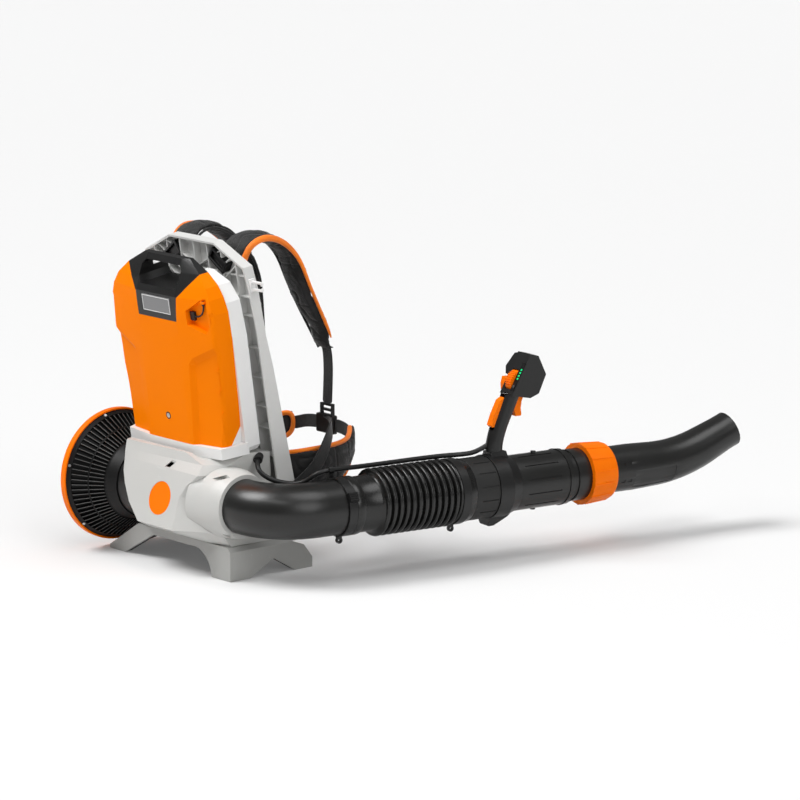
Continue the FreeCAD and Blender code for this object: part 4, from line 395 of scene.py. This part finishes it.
def softened(node, material, width, smooth, shape=None, angle=32):
    """Stands for a part with its moulded edges rounded; a worked form may take the place of its own."""
    piece = keep(shape or joined(node), node + ".moulding", material, smooth=smooth)
    edges = piece.modifiers.new("rounded edges", "BEVEL")
    edges.width = width
    edges.segments = 2
    edges.limit_method = "ANGLE"
    edges.angle_limit = radians(angle)
    edges.harden_normals = True
    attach(piece, body_of(node))
    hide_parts(node)


def cut_out(shape, cutters):
    """Takes cutters out of a form."""
    holders = []
    for form in [shape] + cutters:
        mesh = bpy.data.meshes.new("form")
        form.to_mesh(mesh)
        form.free()
        holder = bpy.data.objects.new("form", mesh)
        bpy.context.scene.collection.objects.link(holder)
        holders.append(holder)
    for cutter in holders[1:]:
        away = holders[0].modifiers.new("away", "BOOLEAN")
        away.operation = "DIFFERENCE"
        away.solver = "EXACT"
        away.object = cutter
    made = bpy.data.meshes.new_from_object(holders[0].evaluated_get(bpy.context.evaluated_depsgraph_get()))
    for holder in holders:
        bpy.data.objects.remove(holder)
    result = bmesh.new()
    result.from_mesh(made)
    return result


# Frames for pieces that are built flat and then put in place

MACHINE_FRAME = Matrix.Translation(machine(0, 0, 0))
TUBE_FRAME = Matrix.Translation(beside_tube(0, 0, 0)) @ Matrix.Rotation(-TUBE_ANGLE, 4, "Z")
FAN_FRAME = Matrix.Translation(machine(0, FAN_Y, FAN_Z)) @ Matrix.Rotation(-pi / 2, 4, "Z")
SEAT_FRAME = Matrix.Translation(on_seat(0, 0, 0)) @ Matrix.Rotation(SEAT_LEAN, 4, "X")
HEAD_FRAME = (Matrix.Translation(on_head(0, 0, 0)) @ Matrix.Rotation(-TUBE_ANGLE, 4, "Z")
              @ Matrix.Rotation(pi / 2 - HEAD_LEAN, 4, "X"))


def mm(x, y, z):
    return Vector((x, y, z)) * 0.001


def polyline(shape, places, closed=False):
    """A chain of edges through places, the start of a turned or swept form."""
    verts = [shape.verts.new(place) for place in places]
    edges = [shape.edges.new(pair) for pair in zip(verts, verts[1:])]
    if closed:
        edges.append(shape.edges.new((verts[-1], verts[0])))
    return verts, edges


def turned(profile, steps=96):
    """A profile of (along, radius) turned round the Y axis."""
    shape = bmesh.new()
    verts, edges = polyline(shape, [mm(radius, along, 0) for along, radius in profile], closed=True)
    bmesh.ops.spin(shape, geom=verts + edges, cent=(0, 0, 0), axis=(0, 1, 0), angle=2 * pi, steps=steps,
                   use_merge=True)
    bmesh.ops.remove_doubles(shape, verts=shape.verts, dist=0.000005)
    bmesh.ops.recalc_face_normals(shape, faces=shape.faces)
    return shape


def box(shape, low, high, matrix=Matrix.Identity(4)):
    """A rectangular block between two corners, in millimetres."""
    low, high = Vector(low), Vector(high)
    size = Matrix.Diagonal(((high - low) * 0.001).to_4d())
    place = Matrix.Translation((low + high) * 0.0005)
    return bmesh.ops.create_cube(shape, size=1, matrix=matrix @ place @ size)["verts"]


def prism(outline, low, high):
    """An outline in the X and Z of the piece's own frame, pushed from one depth to another."""
    shape = bmesh.new()
    face = shape.faces.new([shape.verts.new(mm(x, low, z)) for x, z in outline])
    pushed = bmesh.ops.extrude_face_region(shape, geom=[face])["geom"]
    bmesh.ops.translate(shape, verts=[v for v in pushed if isinstance(v, bmesh.types.BMVert)],
                        vec=mm(0, high - low, 0))
    bmesh.ops.recalc_face_normals(shape, faces=shape.faces)
    return shape


def sector(profile, start, sweep):
    """A profile of (along, radius) turned through part of a circle round the Y axis, closed at both ends."""
    shape = bmesh.new()
    verts, edges = polyline(shape, [mm(radius, along, 0) for along, radius in profile], closed=True)
    bmesh.ops.rotate(shape, verts=verts, cent=(0, 0, 0), matrix=Matrix.Rotation(radians(start), 3, "Y"))
    bmesh.ops.spin(shape, geom=verts + edges, cent=(0, 0, 0), axis=(0, 1, 0), angle=radians(sweep), steps=12)
    bmesh.ops.holes_fill(shape, edges=shape.edges, sides=0)
    bmesh.ops.recalc_face_normals(shape, faces=shape.faces)
    return shape


def put(shape, frame_matrix):
    bmesh.ops.transform(shape, matrix=frame_matrix, verts=shape.verts)
    return shape


def routed(name, places, thickness, material, sides=12, closed=False, shares=None):
    """A round cord along a smooth line through places, as a mesh, and that line's own points."""
    data = bpy.data.curves.new(name, "CURVE")
    data.dimensions = "3D"
    data.resolution_u = 8
    data.bevel_resolution = sides // 4
    spline = data.splines.new("NURBS")
    spline.points.add(len(places) - 1)
    for point, place, share in zip(spline.points, places, shares or [1] * len(places)):
        point.co = place.to_4d()
        point.radius = share
    spline.order_u = 3
    if closed:
        spline.use_cyclic_u = True
    else:
        spline.use_endpoint_u = True
    line = bpy.data.objects.new(name + ".line", data)
    middle = [vertex.co.copy() for vertex in bpy.data.meshes.new_from_object(line).vertices]
    data.bevel_depth = thickness / 2
    data.use_fill_caps = True
    mesh = bpy.data.meshes.new_from_object(line)
    mesh.shade_smooth()
    mesh.set_sharp_from_angle(angle=radians(60))
    bpy.data.objects.remove(line)
    return as_object(name, mesh, material), middle


# Cable: from the housing over the elbow, through its clip and along the tube to the handle

CABLE_THICKNESS = 0.0092
REAR_ROUTE = [machine(148.5, 0.6, 212.3), machine(166, -19, 201), machine(182, -12, 184),
              machine(203, 9, 173), machine(236, 33, 173), beside_tube(-25, -14, 64),
              beside_tube(-25, 8.5, 64)]
FRONT_ROUTE = [beside_tube(-25, 8.5, 64), beside_tube(-25, 30, 64), beside_tube(-26, 56, 63),
               beside_tube(-29, 95, 62), beside_tube(-29, 150, 62), beside_tube(-28, 205, 62.5),
               beside_tube(-26, 255, 62.2), beside_tube(-20, 291, 61.5), beside_tube(-9, 316, 65),
               beside_tube(-3, 335, 77)]


def cable(name, node, route, first, second, start, end):
    """Stands for one piece of the control cable; it is blended from its first body to its second."""
    piece, line = routed(name, route, CABLE_THICKNESS, CABLE_JACKET, sides=16)
    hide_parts(node)
    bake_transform(piece, first, second, start=start, end=end)


cable("control_cable_rear", "cable_rear", REAR_ROUTE, "machine", "elbow", tuple(REAR_ROUTE[1]),
      tuple(REAR_ROUTE[5]))
cable("control_cable_front", "cable_front", FRONT_ROUTE, "elbow", "handle", tuple(FRONT_ROUTE[2]),
      tuple(FRONT_ROUTE[6]))


# Bellows hose: where each rib starts along the tube, and a rib's outer and inner outline from there

RIB_STARTS = [76 + rib * 13.5 for rib in range(12)]
RIB_OUTSIDE = [(0.8, 54.2), (1.8, 55.2), (2.6, 58), (3.2, 60.4), (4.4, 62), (5.8, 62.5), (7.2, 62.5),
               (8.6, 62), (9.8, 60.4), (10.4, 58), (11.2, 55.2), (12.4, 54.2)]
RIB_INSIDE = [(10.4, 53), (8.6, 59.5), (4.4, 59.5), (2.6, 53)]


def bellows_hose():
    """Rubber hose with rounded ribs, a beaded rear cuff and a plain front cuff."""
    profile = [(2, 51.5), (20.5, 51.5), (20.5, 53.4), (21.2, 54), (37.3, 54), (38, 53.4), (38, 51.5),
               (74, 51.5), (76, 52.6)]
    profile += [(start + along, radius) for start in RIB_STARTS for along, radius in RIB_OUTSIDE]
    profile += [(238.5, 54.6), (240.2, 58.2), (241.5, 59), (274, 59), (275, 58.2), (275, 52.1),
                (243, 52.1), (238, 52)]
    profile += [(start + along, radius) for start in reversed(RIB_STARTS) for along, radius in RIB_INSIDE]
    profile += [(76, 50.6), (72, 48), (2, 48)]
    piece = keep(put(turned(profile), TUBE_FRAME), "ribbed_hose", HOSE_RUBBER, smooth=50)
    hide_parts("bellows_hose")
    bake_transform(piece, "elbow", "handle", start=tuple(beside_tube(0, 78, 0)), end=tuple(beside_tube(0, 236, 0)))


bellows_hose()


# Harness: centre and width at each place along the soft pieces, in millimetres

PAD_PATH = [(76, 4, 567, 60), (77, 8, 587, 64), (79, 29, 605, 68), (80, 58, 609, 68), (80, 95, 595, 68),
            (82, 127, 562, 70), (86, 146, 512, 70), (92, 166, 465, 68), (98, 187, 420, 62),
            (104, 199, 384, 48)]
LEFT_MIDDLE = [(79, 133, 562, 70), (78, 160, 512, 70), (87, 173, 465, 68)]
BELT_PATH = [(112, 77.6, 181, 50), (134, 90, 180, 60), (152, 110, 177, 74), (158, 146, 173, 86),
             (152, 186, 176, 80), (133, 224, 186.5, 61), (109, 250, 196.5, 53), (84, 271, 207, 46)]
BUCKLE_Y = 284
STRAP_WIDTH, STRAP_THICKNESS = 25, 2.2
CLOTH_FRAMES = 20
VOXEL = 0.0042
SEAM_REACH, SEAM_DEPTH = 0.0028, 0.0016


def blown_up(mesh, most):
    """Cloth simulation of a closed mesh under inner pressure; no point moves further than most."""
    piece = bpy.data.objects.new("cloth", mesh)
    bpy.context.scene.collection.objects.link(piece)
    before = [vertex.co.copy() for vertex in mesh.vertices]
    cloth = piece.modifiers.new("cloth", "CLOTH")
    cloth.settings.use_pressure = True
    cloth.settings.uniform_pressure_force = 4.0
    cloth.settings.mass = 0.25
    cloth.settings.tension_stiffness = 20
    cloth.settings.compression_stiffness = 20
    cloth.settings.bending_stiffness = 0.6
    cloth.settings.quality = 6
    cloth.settings.effector_weights.gravity = 0
    cloth.point_cache.frame_start = 1
    cloth.point_cache.frame_end = CLOTH_FRAMES
    for step in range(1, CLOTH_FRAMES + 1):
        bpy.context.scene.frame_set(step)
    after = piece.evaluated_get(bpy.context.evaluated_depsgraph_get()).to_mesh()
    places = [vertex.co.copy() for vertex in after.vertices]
    bpy.context.scene.frame_set(1)
    bpy.data.objects.remove(piece)
    for vertex, old, new in zip(mesh.vertices, before, places):
        moved = new - old
        if moved.length > most:
            moved = moved.normalized() * most
        vertex.co = old + moved
    return mesh


def padded_piece(name, node, material, drawn_in, most, crease, seams):
    """Stands for a soft part: its form remeshed, blown up as cloth, then creased and sewn."""
    shape = joined(node)
    bmesh.ops.recalc_face_normals(shape, faces=shape.faces)
    shape.normal_update()
    for vertex, way in [(vertex, vertex.normal.copy()) for vertex in shape.verts]:
        vertex.co -= way * drawn_in
    rough = bpy.data.meshes.new(name)
    shape.to_mesh(rough)
    shape.free()
    holder = bpy.data.objects.new(name + ".rough", rough)
    bpy.context.scene.collection.objects.link(holder)
    remesh = holder.modifiers.new("remesh", "REMESH")
    remesh.mode = "VOXEL"
    remesh.voxel_size = VOXEL
    mesh = bpy.data.meshes.new_from_object(holder.evaluated_get(bpy.context.evaluated_depsgraph_get()))
    bpy.data.objects.remove(holder)
    mesh.name = name
    mesh = blown_up(mesh, most)
    shape = bmesh.new()
    shape.from_mesh(mesh)
    bmesh.ops.subdivide_edges(shape, edges=shape.edges, cuts=1, use_grid_fill=True, smooth=0.6)
    for again in range(2):
        bmesh.ops.smooth_vert(shape, verts=shape.verts, factor=0.5, use_axis_x=True, use_axis_y=True,
                              use_axis_z=True)
    shape.normal_update()
    for vertex, way in [(vertex, vertex.normal.copy()) for vertex in shape.verts]:
        place = vertex.co
        stretched = Vector((place.x * 22, place.y * 22, place.z * 30))
        fold = abs(noise.noise(stretched + Vector((3, 7, 1)))) ** 0.6
        small = noise.noise(place * 70)
        depth = crease * (1 - min(1, fold * 3)) + crease * 0.3 * small
        for seam in seams:
            depth += SEAM_DEPTH * max(0, 1 - abs(seam(place)) / SEAM_REACH)
        vertex.co = place - way * depth
    piece = keep(shape, name, material, smooth=80)
    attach(piece, body_of(node))
    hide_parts(node)


def level_seam(height):
    """Distance from a seam that runs level across a piece."""
    return lambda place: place.z - height * 0.001


def forward_seam(forward):
    return lambda place: place.y - (forward - MACHINE_ORIGIN.y) * 0.001


def sideways_seam(across):
    return lambda place: place.x - (across - MACHINE_ORIGIN.x) * 0.001


def binding(name, places, thickness, closed=False, shares=None):
    """A round orange binding along a sewn edge."""
    piece = routed(name, places, thickness, PIPING, closed=closed, shares=shares)[0]
    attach(piece, "machine")


def harness_side(side, word):
    """Shoulder pad, hip belt and their sewn edges on one side."""
    padded_piece("shoulder_padding_" + word, "shoulder_pad_" + word, PAD_CLOTH, 0.001, 0.005, 0.0022,
                 [level_seam(548), level_seam(470), level_seam(405), forward_seam(60)])
    path = PAD_PATH if side > 0 else PAD_PATH[:5] + LEFT_MIDDLE + PAD_PATH[8:]
    outer = [machine(side * (x + width / 2 - 1.5), y, z) for x, y, z, width in path]
    # The binding stops short of the pad's narrow end
    outer[-1] = outer[-2].lerp(outer[-1], 0.3)
    binding("shoulder_binding_" + word, outer, thickness=0.0125,
            shares=[1, 1, 1, 1, 0.9, 0.6, 0.5, 0.5, 0.5, 0.2])
    inner = [machine(side * (x - width / 2 + 1), y, z) for x, y, z, width in path]
    sewn = routed("shoulder_edge_" + word, inner, 0.005, PAD_CLOTH)[0]
    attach(sewn, "machine")
    padded_piece("hip_padding_" + word, "hip_belt_" + word, PAD_CLOTH, 0.0012, 0.005, 0.0018,
                 [forward_seam(128), forward_seam(176), forward_seam(216)])
    top = [machine(side * x, y, z + width / 2 - 2) for x, y, z, width in BELT_PATH]
    low = [machine(side * x, y, z - width / 2 + 2) for x, y, z, width in reversed(BELT_PATH)]
    binding("belt_binding_" + word, top + low, closed=True, thickness=0.0095)


def strap(name, node, stations):
    """Flat webbing through stations of (place, way across), with its weave along it."""
    shape = bmesh.new()
    rows = []
    for place, across in stations:
        way = across.normalized() * STRAP_WIDTH * 0.0005
        rows.append((place - way, place, place + way))
    first, edges = polyline(shape, rows[0])
    previous = first
    marks = {vertex: (index * STRAP_WIDTH * 0.0005, 0.0) for index, vertex in enumerate(first)}
    run = 0.0
    for before, row in zip(rows, rows[1:]):
        run += (row[1] - before[1]).length
        made = bmesh.ops.extrude_edge_only(shape, edges=edges)["geom"]
        edges = [item for item in made if isinstance(item, bmesh.types.BMEdge)
                 and all(vertex not in previous for vertex in item.verts)]
        fresh = {vertex for item in edges for vertex in item.verts}
        ordered = []
        for old in previous:
            ordered += [edge.other_vert(old) for edge in old.link_edges if edge.other_vert(old) in fresh]
        for index, (vertex, place) in enumerate(zip(ordered, row)):
            vertex.co = place
            marks[vertex] = (index * STRAP_WIDTH * 0.0005, run)
        previous = ordered
    layer = shape.loops.layers.uv.new("weave")
    for face in shape.faces:
        for loop in face.loops:
            loop[layer].uv = marks[loop.vert]
    bmesh.ops.recalc_face_normals(shape, faces=shape.faces)
    piece = keep(shape, name, WEBBING, smooth=180)
    smooth = piece.modifiers.new("smooth", "SUBSURF")
    smooth.levels = smooth.render_levels = 3
    thick = piece.modifiers.new("thick", "SOLIDIFY")
    thick.thickness = STRAP_THICKNESS * 0.001
    thick.offset = 0
    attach(piece, "machine")
    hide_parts(node)


def straps(side, word):
    """Webbing from the pad down through its buckle and back to the frame, and the belt's webbing."""
    wide, up = Vector((1, 0, 0)), Vector((0, 0, 1))

    def at(x, y, z):
        return machine(side * x, y, z)

    def way(x, y, z):
        return Vector((side * x, y, z))

    strap("webbing_upper_" + word, "strap_webbing",
          [(at(103, 193, 402), wide), (at(106.2, 199.6, 383), wide), (at(109, 199, 345), wide),
           (at(112, 195, 310), wide), (at(114, 192.5, 292), wide), (at(114, 192, 284.4), wide)])
    strap("webbing_lower_" + word, "strap_webbing",
          [(at(114, 192, 259.6), way(1, 0, 0)), (at(114, 192, 255), way(1, 0, 0)),
           (at(126, 187, 251), way(0.6, -0.2, -0.8)), (at(143, 178, 250), way(0, 0, -1)),
           (at(162, 163, 250), way(0, 0.1, -1)), (at(177, 147, 243), way(0.05, 0.3, -0.95)),
           (at(184, 126, 212), way(0, 0.7, -0.7)), (at(186, 106, 186), way(0, 0.75, -0.65)),
           (at(177, 80, 162), way(0, 0.7, -0.7)), (at(167.2, 62, 147), way(0, 0.7, -0.7)),
           (at(166.8, 50, 138), way(0, 0.7, -0.7))])
    strap("webbing_belt_" + word, "hip_webbing",
          [(at(83.8, 271.2, 207), up), (at(77.9, 276.2, 207.5), up), (at(62, 283, 213), up),
           (at(38, BUCKLE_Y, 216), up), (at(26.3, BUCKLE_Y, 216), up)])


for side, word in ((1, "right"), (-1, "left")):
    harness_side(side, word)
    straps(side, word)
padded_piece("back_padding", "back_pad", PAD_MESH, 0.0025, 0.006, 0.0015,
             [level_seam(262), level_seam(318), level_seam(378), level_seam(436), sideways_seam(0),
              sideways_seam(62), sideways_seam(-62)])


# Intake: its fins, and the grille over its wide end

INTAKE_FINS = 72


def dish(radius):
    """How far the grille sinks towards its edge, both in millimetres."""
    return 7 * (radius / 118) ** 2


def outer_grille():
    """Rings and thin radial blades of the dished grille."""
    shape = bmesh.new()
    for ring in range(19):
        radius = 24 + ring * 5.1
        rise = dish(radius) - 208
        deep = 7 if radius < 105 else 3
        section = [mm(radius, rise, 0), mm(radius + 1.5, rise, 0), mm(radius + 1.5, rise + deep, 0),
                   mm(radius, rise + deep, 0)]
        verts, edges = polyline(shape, section, closed=True)
        bmesh.ops.spin(shape, geom=verts + edges, cent=(0, 0, 0), axis=(0, 1, 0), angle=2 * pi,
                       steps=INTAKE_FINS, use_merge=True)
    for blade in range(INTAKE_FINS):
        reach = 24 if blade % 2 == 0 else 60
        turn = Matrix.Rotation(2 * pi * blade / INTAKE_FINS, 4, "Y")
        for vertex in box(shape, (reach, -207, -0.6), (117, -204, 0.6), turn):
            vertex.co.y += dish(Vector((vertex.co.x, vertex.co.z)).length * 1000) * 0.001
    box(shape, (-24, -208, -24), (24, -204, 24))
    bmesh.ops.recalc_face_normals(shape, faces=shape.faces)
    piece = keep(put(shape, FAN_FRAME), "intake_grille", GRILLE_BLACK)
    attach(piece, "machine")
    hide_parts("intake_outer_grille")


def cone_fins():
    """The funnel's fins with their outer edges in a lighter grey, which is a painted highlight, and a dark sheet
    just behind them that is painted shade in the slots.
    """
    shape = bmesh.new()
    for fin in range(INTAKE_FINS):
        turn = Matrix.Rotation(2 * pi * (fin + 0.5) / INTAKE_FINS, 4, "Y")
        slant = turn @ Matrix.Translation(mm(77.2, -138, 0)) @ Matrix.Rotation(radians(-53.8), 4, "Z")
        for start, end in ((1, 29.5), (32.5, 63.5)):
            box(shape, (start, -0.4, -0.5), (end, 0.45, 0.5), slant)
    # The fin edges' lighter grey is a painted highlight where they catch the light.
    piece = keep(put(shape, FAN_FRAME), "intake_fin_edges", FIN_EDGE_HIGHLIGHT)
    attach(piece, "machine")
    # A black sheet just inside the funnel: painted shade seen through the slots between the fins.
    shade_sheet = turned([(-197.5, 117.3), (-190.2, 107.2), (-135.4, 66.9), (-135.4, 66.1), (-190.2, 106.4),
                     (-197.5, 116.5)])
    piece = keep(put(shade_sheet, FAN_FRAME), "intake_shade_sheet", GRILLE_BLACK)
    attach(piece, "machine")


outer_grille()
cone_fins()


# Battery cover: each slope's start and end across and up, and its width, in millimetres

FLANK_LINES = (((66, 8), (76, 165), 9), ((76, 165), (87, 178), 9), ((87, 178), (152, 206), 12))
FLANK_DEPTH = 7.0
# In metres on the seat: what counts as the front, and where the long corners stand and end
FRONT_LIMIT = -0.06
CORNER_ACROSS = 0.128
CORNER_TOP = 0.27


def flank_share(place, slopes):
    """How far a place on the cover has sunk: 0 on the raised middle, 1 on the flank."""
    return min(1, max(0, min((place - start).dot(way) / width for start, way, width in slopes)))


def battery_cover():
    """The orange cover with its rounded long corners and sunken flanks, creased along each slope."""
    shape = put(joined("battery_front_shell"), SEAT_FRAME.inverted())
    bmesh.ops.dissolve_limit(shape, angle_limit=radians(0.3), verts=shape.verts, edges=shape.edges)
    shape.normal_update()
    corners = []
    for edge in shape.edges:
        first, second = [vertex.co for vertex in edge.verts]
        along = (second - first).normalized()
        if (abs(along.z) > 0.9 and min(abs(first.x), abs(second.x)) > CORNER_ACROSS
                and max(first.z, second.z) < CORNER_TOP and max(first.y, second.y) < FRONT_LIMIT
                and edge.is_manifold and edge.calc_face_angle_signed() > radians(25)):
            corners.append(edge)
    bmesh.ops.bevel(shape, geom=corners, offset=0.008, offset_type="OFFSET", segments=14, profile=0.5,
                    affect="EDGES", material=-1)
    for side in (1, -1):
        slopes = []
        for (x0, up0), (x1, up1), width in FLANK_LINES:
            way = Vector((side * (up1 - up0), 0, x0 - x1)).normalized()
            slopes.append((mm(side * x0, 0, up0), way, width * 0.001))
        cuts = [(start + way * reach, way) for start, way, width in slopes for reach in (0, width)]
        for (start, way, width), (corner, turned_way, next_width) in zip(slopes, slopes[1:]):
            cuts.append((corner, (way / width - turned_way / next_width).normalized()))
        for place, way in cuts:
            bmesh.ops.bisect_plane(shape, geom=shape.verts[:] + shape.edges[:] + shape.faces[:], dist=0.00001,
                                   plane_co=place, plane_no=way)
        for vertex in shape.verts:
            if vertex.co.y < FRONT_LIMIT and vertex.co.x * side > 0:
                vertex.co.y += FLANK_DEPTH * 0.001 * flank_share(vertex.co, slopes)
    bmesh.ops.triangulate(shape, faces=[face for face in shape.faces if len(face.verts) > 4])
    softened("battery_front_shell", ORANGE_SHELL, 0.0012, smooth=6.5, shape=put(shape, SEAT_FRAME), angle=12)


def cover_marks():
    """Three small wedges low on the right flank, the dark ring round the screw and the plate's border."""
    shape = bmesh.new()
    for x, up in ((146, 159), (144.5, 118), (142.5, 76)):
        wedge = [mm(x - 10, -71.5, up - 4), mm(x - 2, -69.6, up + 3), mm(x + 1.2, -60, up + 5),
                 mm(x - 3, -69.3, up - 4), mm(x + 1, -59, up + 1)]
        bmesh.ops.convex_hull(shape, input=[shape.verts.new(place) for place in wedge])
    piece = keep(put(shape, SEAT_FRAME), "flank_wedges", ORANGE_SHELL, smooth=6)
    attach(piece, body_of("battery_front_shell"))
    ring = put(turned([(-88.2, 4.6), (-89.3, 5.2), (-89.5, 6.2), (-89, 7), (-87, 7.2), (-87, 4.6)], steps=48),
               Matrix.Translation(mm(0, 0, 58)))
    piece = keep(put(ring, SEAT_FRAME), "screw_ring", RING_BROWN)
    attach(piece, body_of("battery_front_shell"))
    shape = bmesh.new()
    left, right, low, high, line, front = -40, 40, 254, 283, 1.2, -81.7
    for start, end, bottom, top in ((left, right, low, low + line), (left, right, high - line, high),
                                    (left, left + line, low + line, high - line),
                                    (right - line, right, low + line, high - line)):
        box(shape, (start, front, bottom), (end, front + 0.5, top))
    piece = keep(put(shape, SEAT_FRAME), "plate_border", BATTERY_WHITE)
    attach(piece, body_of("battery_label_plate"))


battery_cover()
cover_marks()


# Housing, collar and nozzle, with their sunken details

def housing():
    """The pale housing with its slot, and the air collar with its two sunken windows."""
    slot = put(prism([(19, 191), (33, 191), (48, 209), (35, 209)], -130, -106), MACHINE_FRAME)
    softened("fan_housing", PALE_SHELL, 0.004, smooth=9, shape=cut_out(joined("fan_housing"), [slot]))
    high = put(prism([(143, 187), (178, 201), (184, 195), (153, 184)], -140, -84), MACHINE_FRAME)
    low = put(prism([(168, 88), (200, 88), (189, 81), (172, 81)], -140, -86), MACHINE_FRAME)
    softened("outlet_collar", PALE_SHELL, 0.0016, smooth=30,
             shape=cut_out(joined("outlet_collar"), [high, low]))


def nozzle():
    """The nozzle with a long sunken panel on each side."""
    panel = [(642, 43.4), (662, 43.0), (705, 41.2), (738, 39.6), (738, 50), (642, 50)]
    cutters = [put(sector(panel, start, 50), TUBE_FRAME) for start in (-2, 132)]
    softened("nozzle", TUBE_BLACK, 0.0006, smooth=25, shape=cut_out(joined("nozzle"), cutters))


housing()
nozzle()


# Control head

def head_marks():
    """Small lit signs in the display's window, and the ring on the power button."""
    shape = bmesh.new()
    for across in (12.1, 14.9):
        for up in (34, 40, 46, 52):
            box(shape, (across - 0.9, up - 1.8, -0.45), (across + 0.9, up + 1.4, -0.1))
    piece = keep(put(shape, HEAD_FRAME), "display_signs", SIGN_GREEN)
    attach(piece, body_of("display_panel"))
    ring = put(turned([(0, 1.4), (0, 2.0), (0.3, 2.0), (0.3, 1.4)], steps=32),
               Matrix.Translation(mm(13.5, 18, 1.1)) @ Matrix.Rotation(pi / 2, 4, "X"))
    piece = keep(put(ring, HEAD_FRAME), "button_ring", LABEL_GREY)
    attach(piece, body_of("power_button"))


head_marks()


# Rigid parts

for node, material, width, smooth in (
        ("battery_rear_shell", BATTERY_WHITE, 0.0014, 7), ("battery_handle_insert", BLACK_SHELL, 0.0014, 7),
        ("stand_frame", STAND_GREY, 0.0025, 12), ("carrying_frame", FRAME_GREY, 0.001, 7),
        ("handle_head", BLACK_SHELL, 0.0022, 7), ("coupling_ring", ORANGE_TRIM, 0.0006, 20),
        ("thumb_slider", ORANGE_TRIM, 0.0004, 20), ("side_lever", ORANGE_TRIM, 0.001, 7),
        ("trigger", ORANGE_TRIM, 0.001, 7), ("lockout_lever", ORANGE_TRIM, 0.001, 7),
        ("intake_rim_ring", ORANGE_TRIM, 0.001, 25), ("strap_anchors", BLACK_SHELL, 0.0015, 7),
        ("frame_hook", BATTERY_WHITE, 0.0008, 7), ("hip_buckle", BLACK_SHELL, 0.0015, 7),
        ("strap_adjusters", BLACK_SHELL, 0.0008, 7), ("handle_collar", BLACK_SHELL, 0.0012, 20),
        ("hose_clamp_rear", BLACK_SHELL, 0.0005, 20), ("hose_clamp_front", BLACK_SHELL, 0.0005, 20),
        ("grip_sleeve", SOFT_BLACK, 0.0005, 20), ("battery_label_plate", LABEL_GREY, 0.0006, 20)):
    softened(node, material, width, smooth)

for node, material in (
        ("stand_liner", LINER_BLACK), ("badge_disc", ORANGE_TRIM), ("intake_cone", GRILLE_BLACK),
        ("intake_screws", STEEL), ("fan_duct", BLACK_SHELL), ("fan_rotor", BLACK_SHELL),
        ("motor_shaft", STEEL), ("motor_bearings", STEEL), ("motor_mount", BLACK_SHELL),
        ("motor_stator", COPPER), ("control_board", BOARD_GREEN), ("elbow", TUBE_BLACK),
        ("handle_tube", TUBE_BLACK),
        ("handle_grip", BLACK_SHELL), ("handle_pins", STEEL), ("display_panel", GRILLE_BLACK),
        ("power_button", BLACK_SHELL), ("battery_screw", STEEL), ("battery_cells", CELL_WRAP),
        ("battery_dock", BLACK_SHELL), ("dock_contacts", COPPER), ("socket_cap", SOFT_BLACK),
        ("cable_clip", BLACK_SHELL), ("cable_grommet", SOFT_BLACK)):
    dress(node, material)


# Floor and light

def floor():
    """A wide pale floor that looks a little brighter to the camera than to its surroundings."""
    shape = bmesh.new()
    bmesh.ops.create_grid(shape, x_segments=1, y_segments=1, size=30)
    material, tree, shader = new_material("pale floor")
    grain = add(tree, "TexNoise", {"Scale": 6.0, "Detail": 4.0}).outputs["Fac"]
    tint = add(tree, "MapRange", {"Value": grain, "To Min": 0.7, "To Max": 0.72}).outputs["Result"]
    ray = add(tree, "LightPath")
    seen = sums(tree, "MAXIMUM", ray.outputs["Is Camera Ray"], ray.outputs["Is Glossy Ray"])
    glow = sums(tree, "MULTIPLY", seen, 0.10)
    feed(tree, shader, {"Base Color": tint, "Roughness": 0.9, "Specular IOR Level": 0.0,
                        "Emission Color": (1, 1, 1, 1), "Emission Strength": glow})
    piece = keep(shape, "floor", material)
    piece.location.z = -0.0005


def lamp(kind, name, place, target, power):
    data = bpy.data.lights.new(name, kind)
    data.energy = power
    holder = bpy.data.objects.new(name, data)
    bpy.context.scene.collection.objects.link(holder)
    holder.location = place
    holder.rotation_euler = facing(place, target)
    return data


def studio():
    """Even light from all round, a broad high lamp, two weaker ones and a strip for the gloss."""
    world = bpy.data.worlds.new("studio")
    bpy.context.scene.world = world
    world.use_nodes = True
    tree = world.node_tree
    ray = add(tree, "LightPath")
    seen = sums(tree, "MAXIMUM", ray.outputs["Is Camera Ray"], ray.outputs["Is Transmission Ray"])
    level = add(tree, "MapRange", {"Value": seen, "To Min": 0.2, "To Max": 0.93})
    feed(tree, tree.nodes["Background"], {"Color": (1, 1, 1, 1), "Strength": level.outputs["Result"]})
    lamp("SUN", "high lamp", (-1.2, -1.6, 3), (0, 0, 0), 2.3).angle = radians(28)
    lamp("SUN", "right lamp", (3, -0.4, 1.6), (0, 0, 0), 0.72).angle = radians(35)
    lamp("SUN", "top lamp", (1, 0.5, 3), (0, 0, 0), 0.9).angle = radians(35)
    strip = lamp("AREA", "strip", (0.6, -2.2, 2.6), (0.1, 0, 0.15), 14)
    strip.shape = "RECTANGLE"
    strip.size, strip.size_y = 2.6, 0.4


floor()
studio()
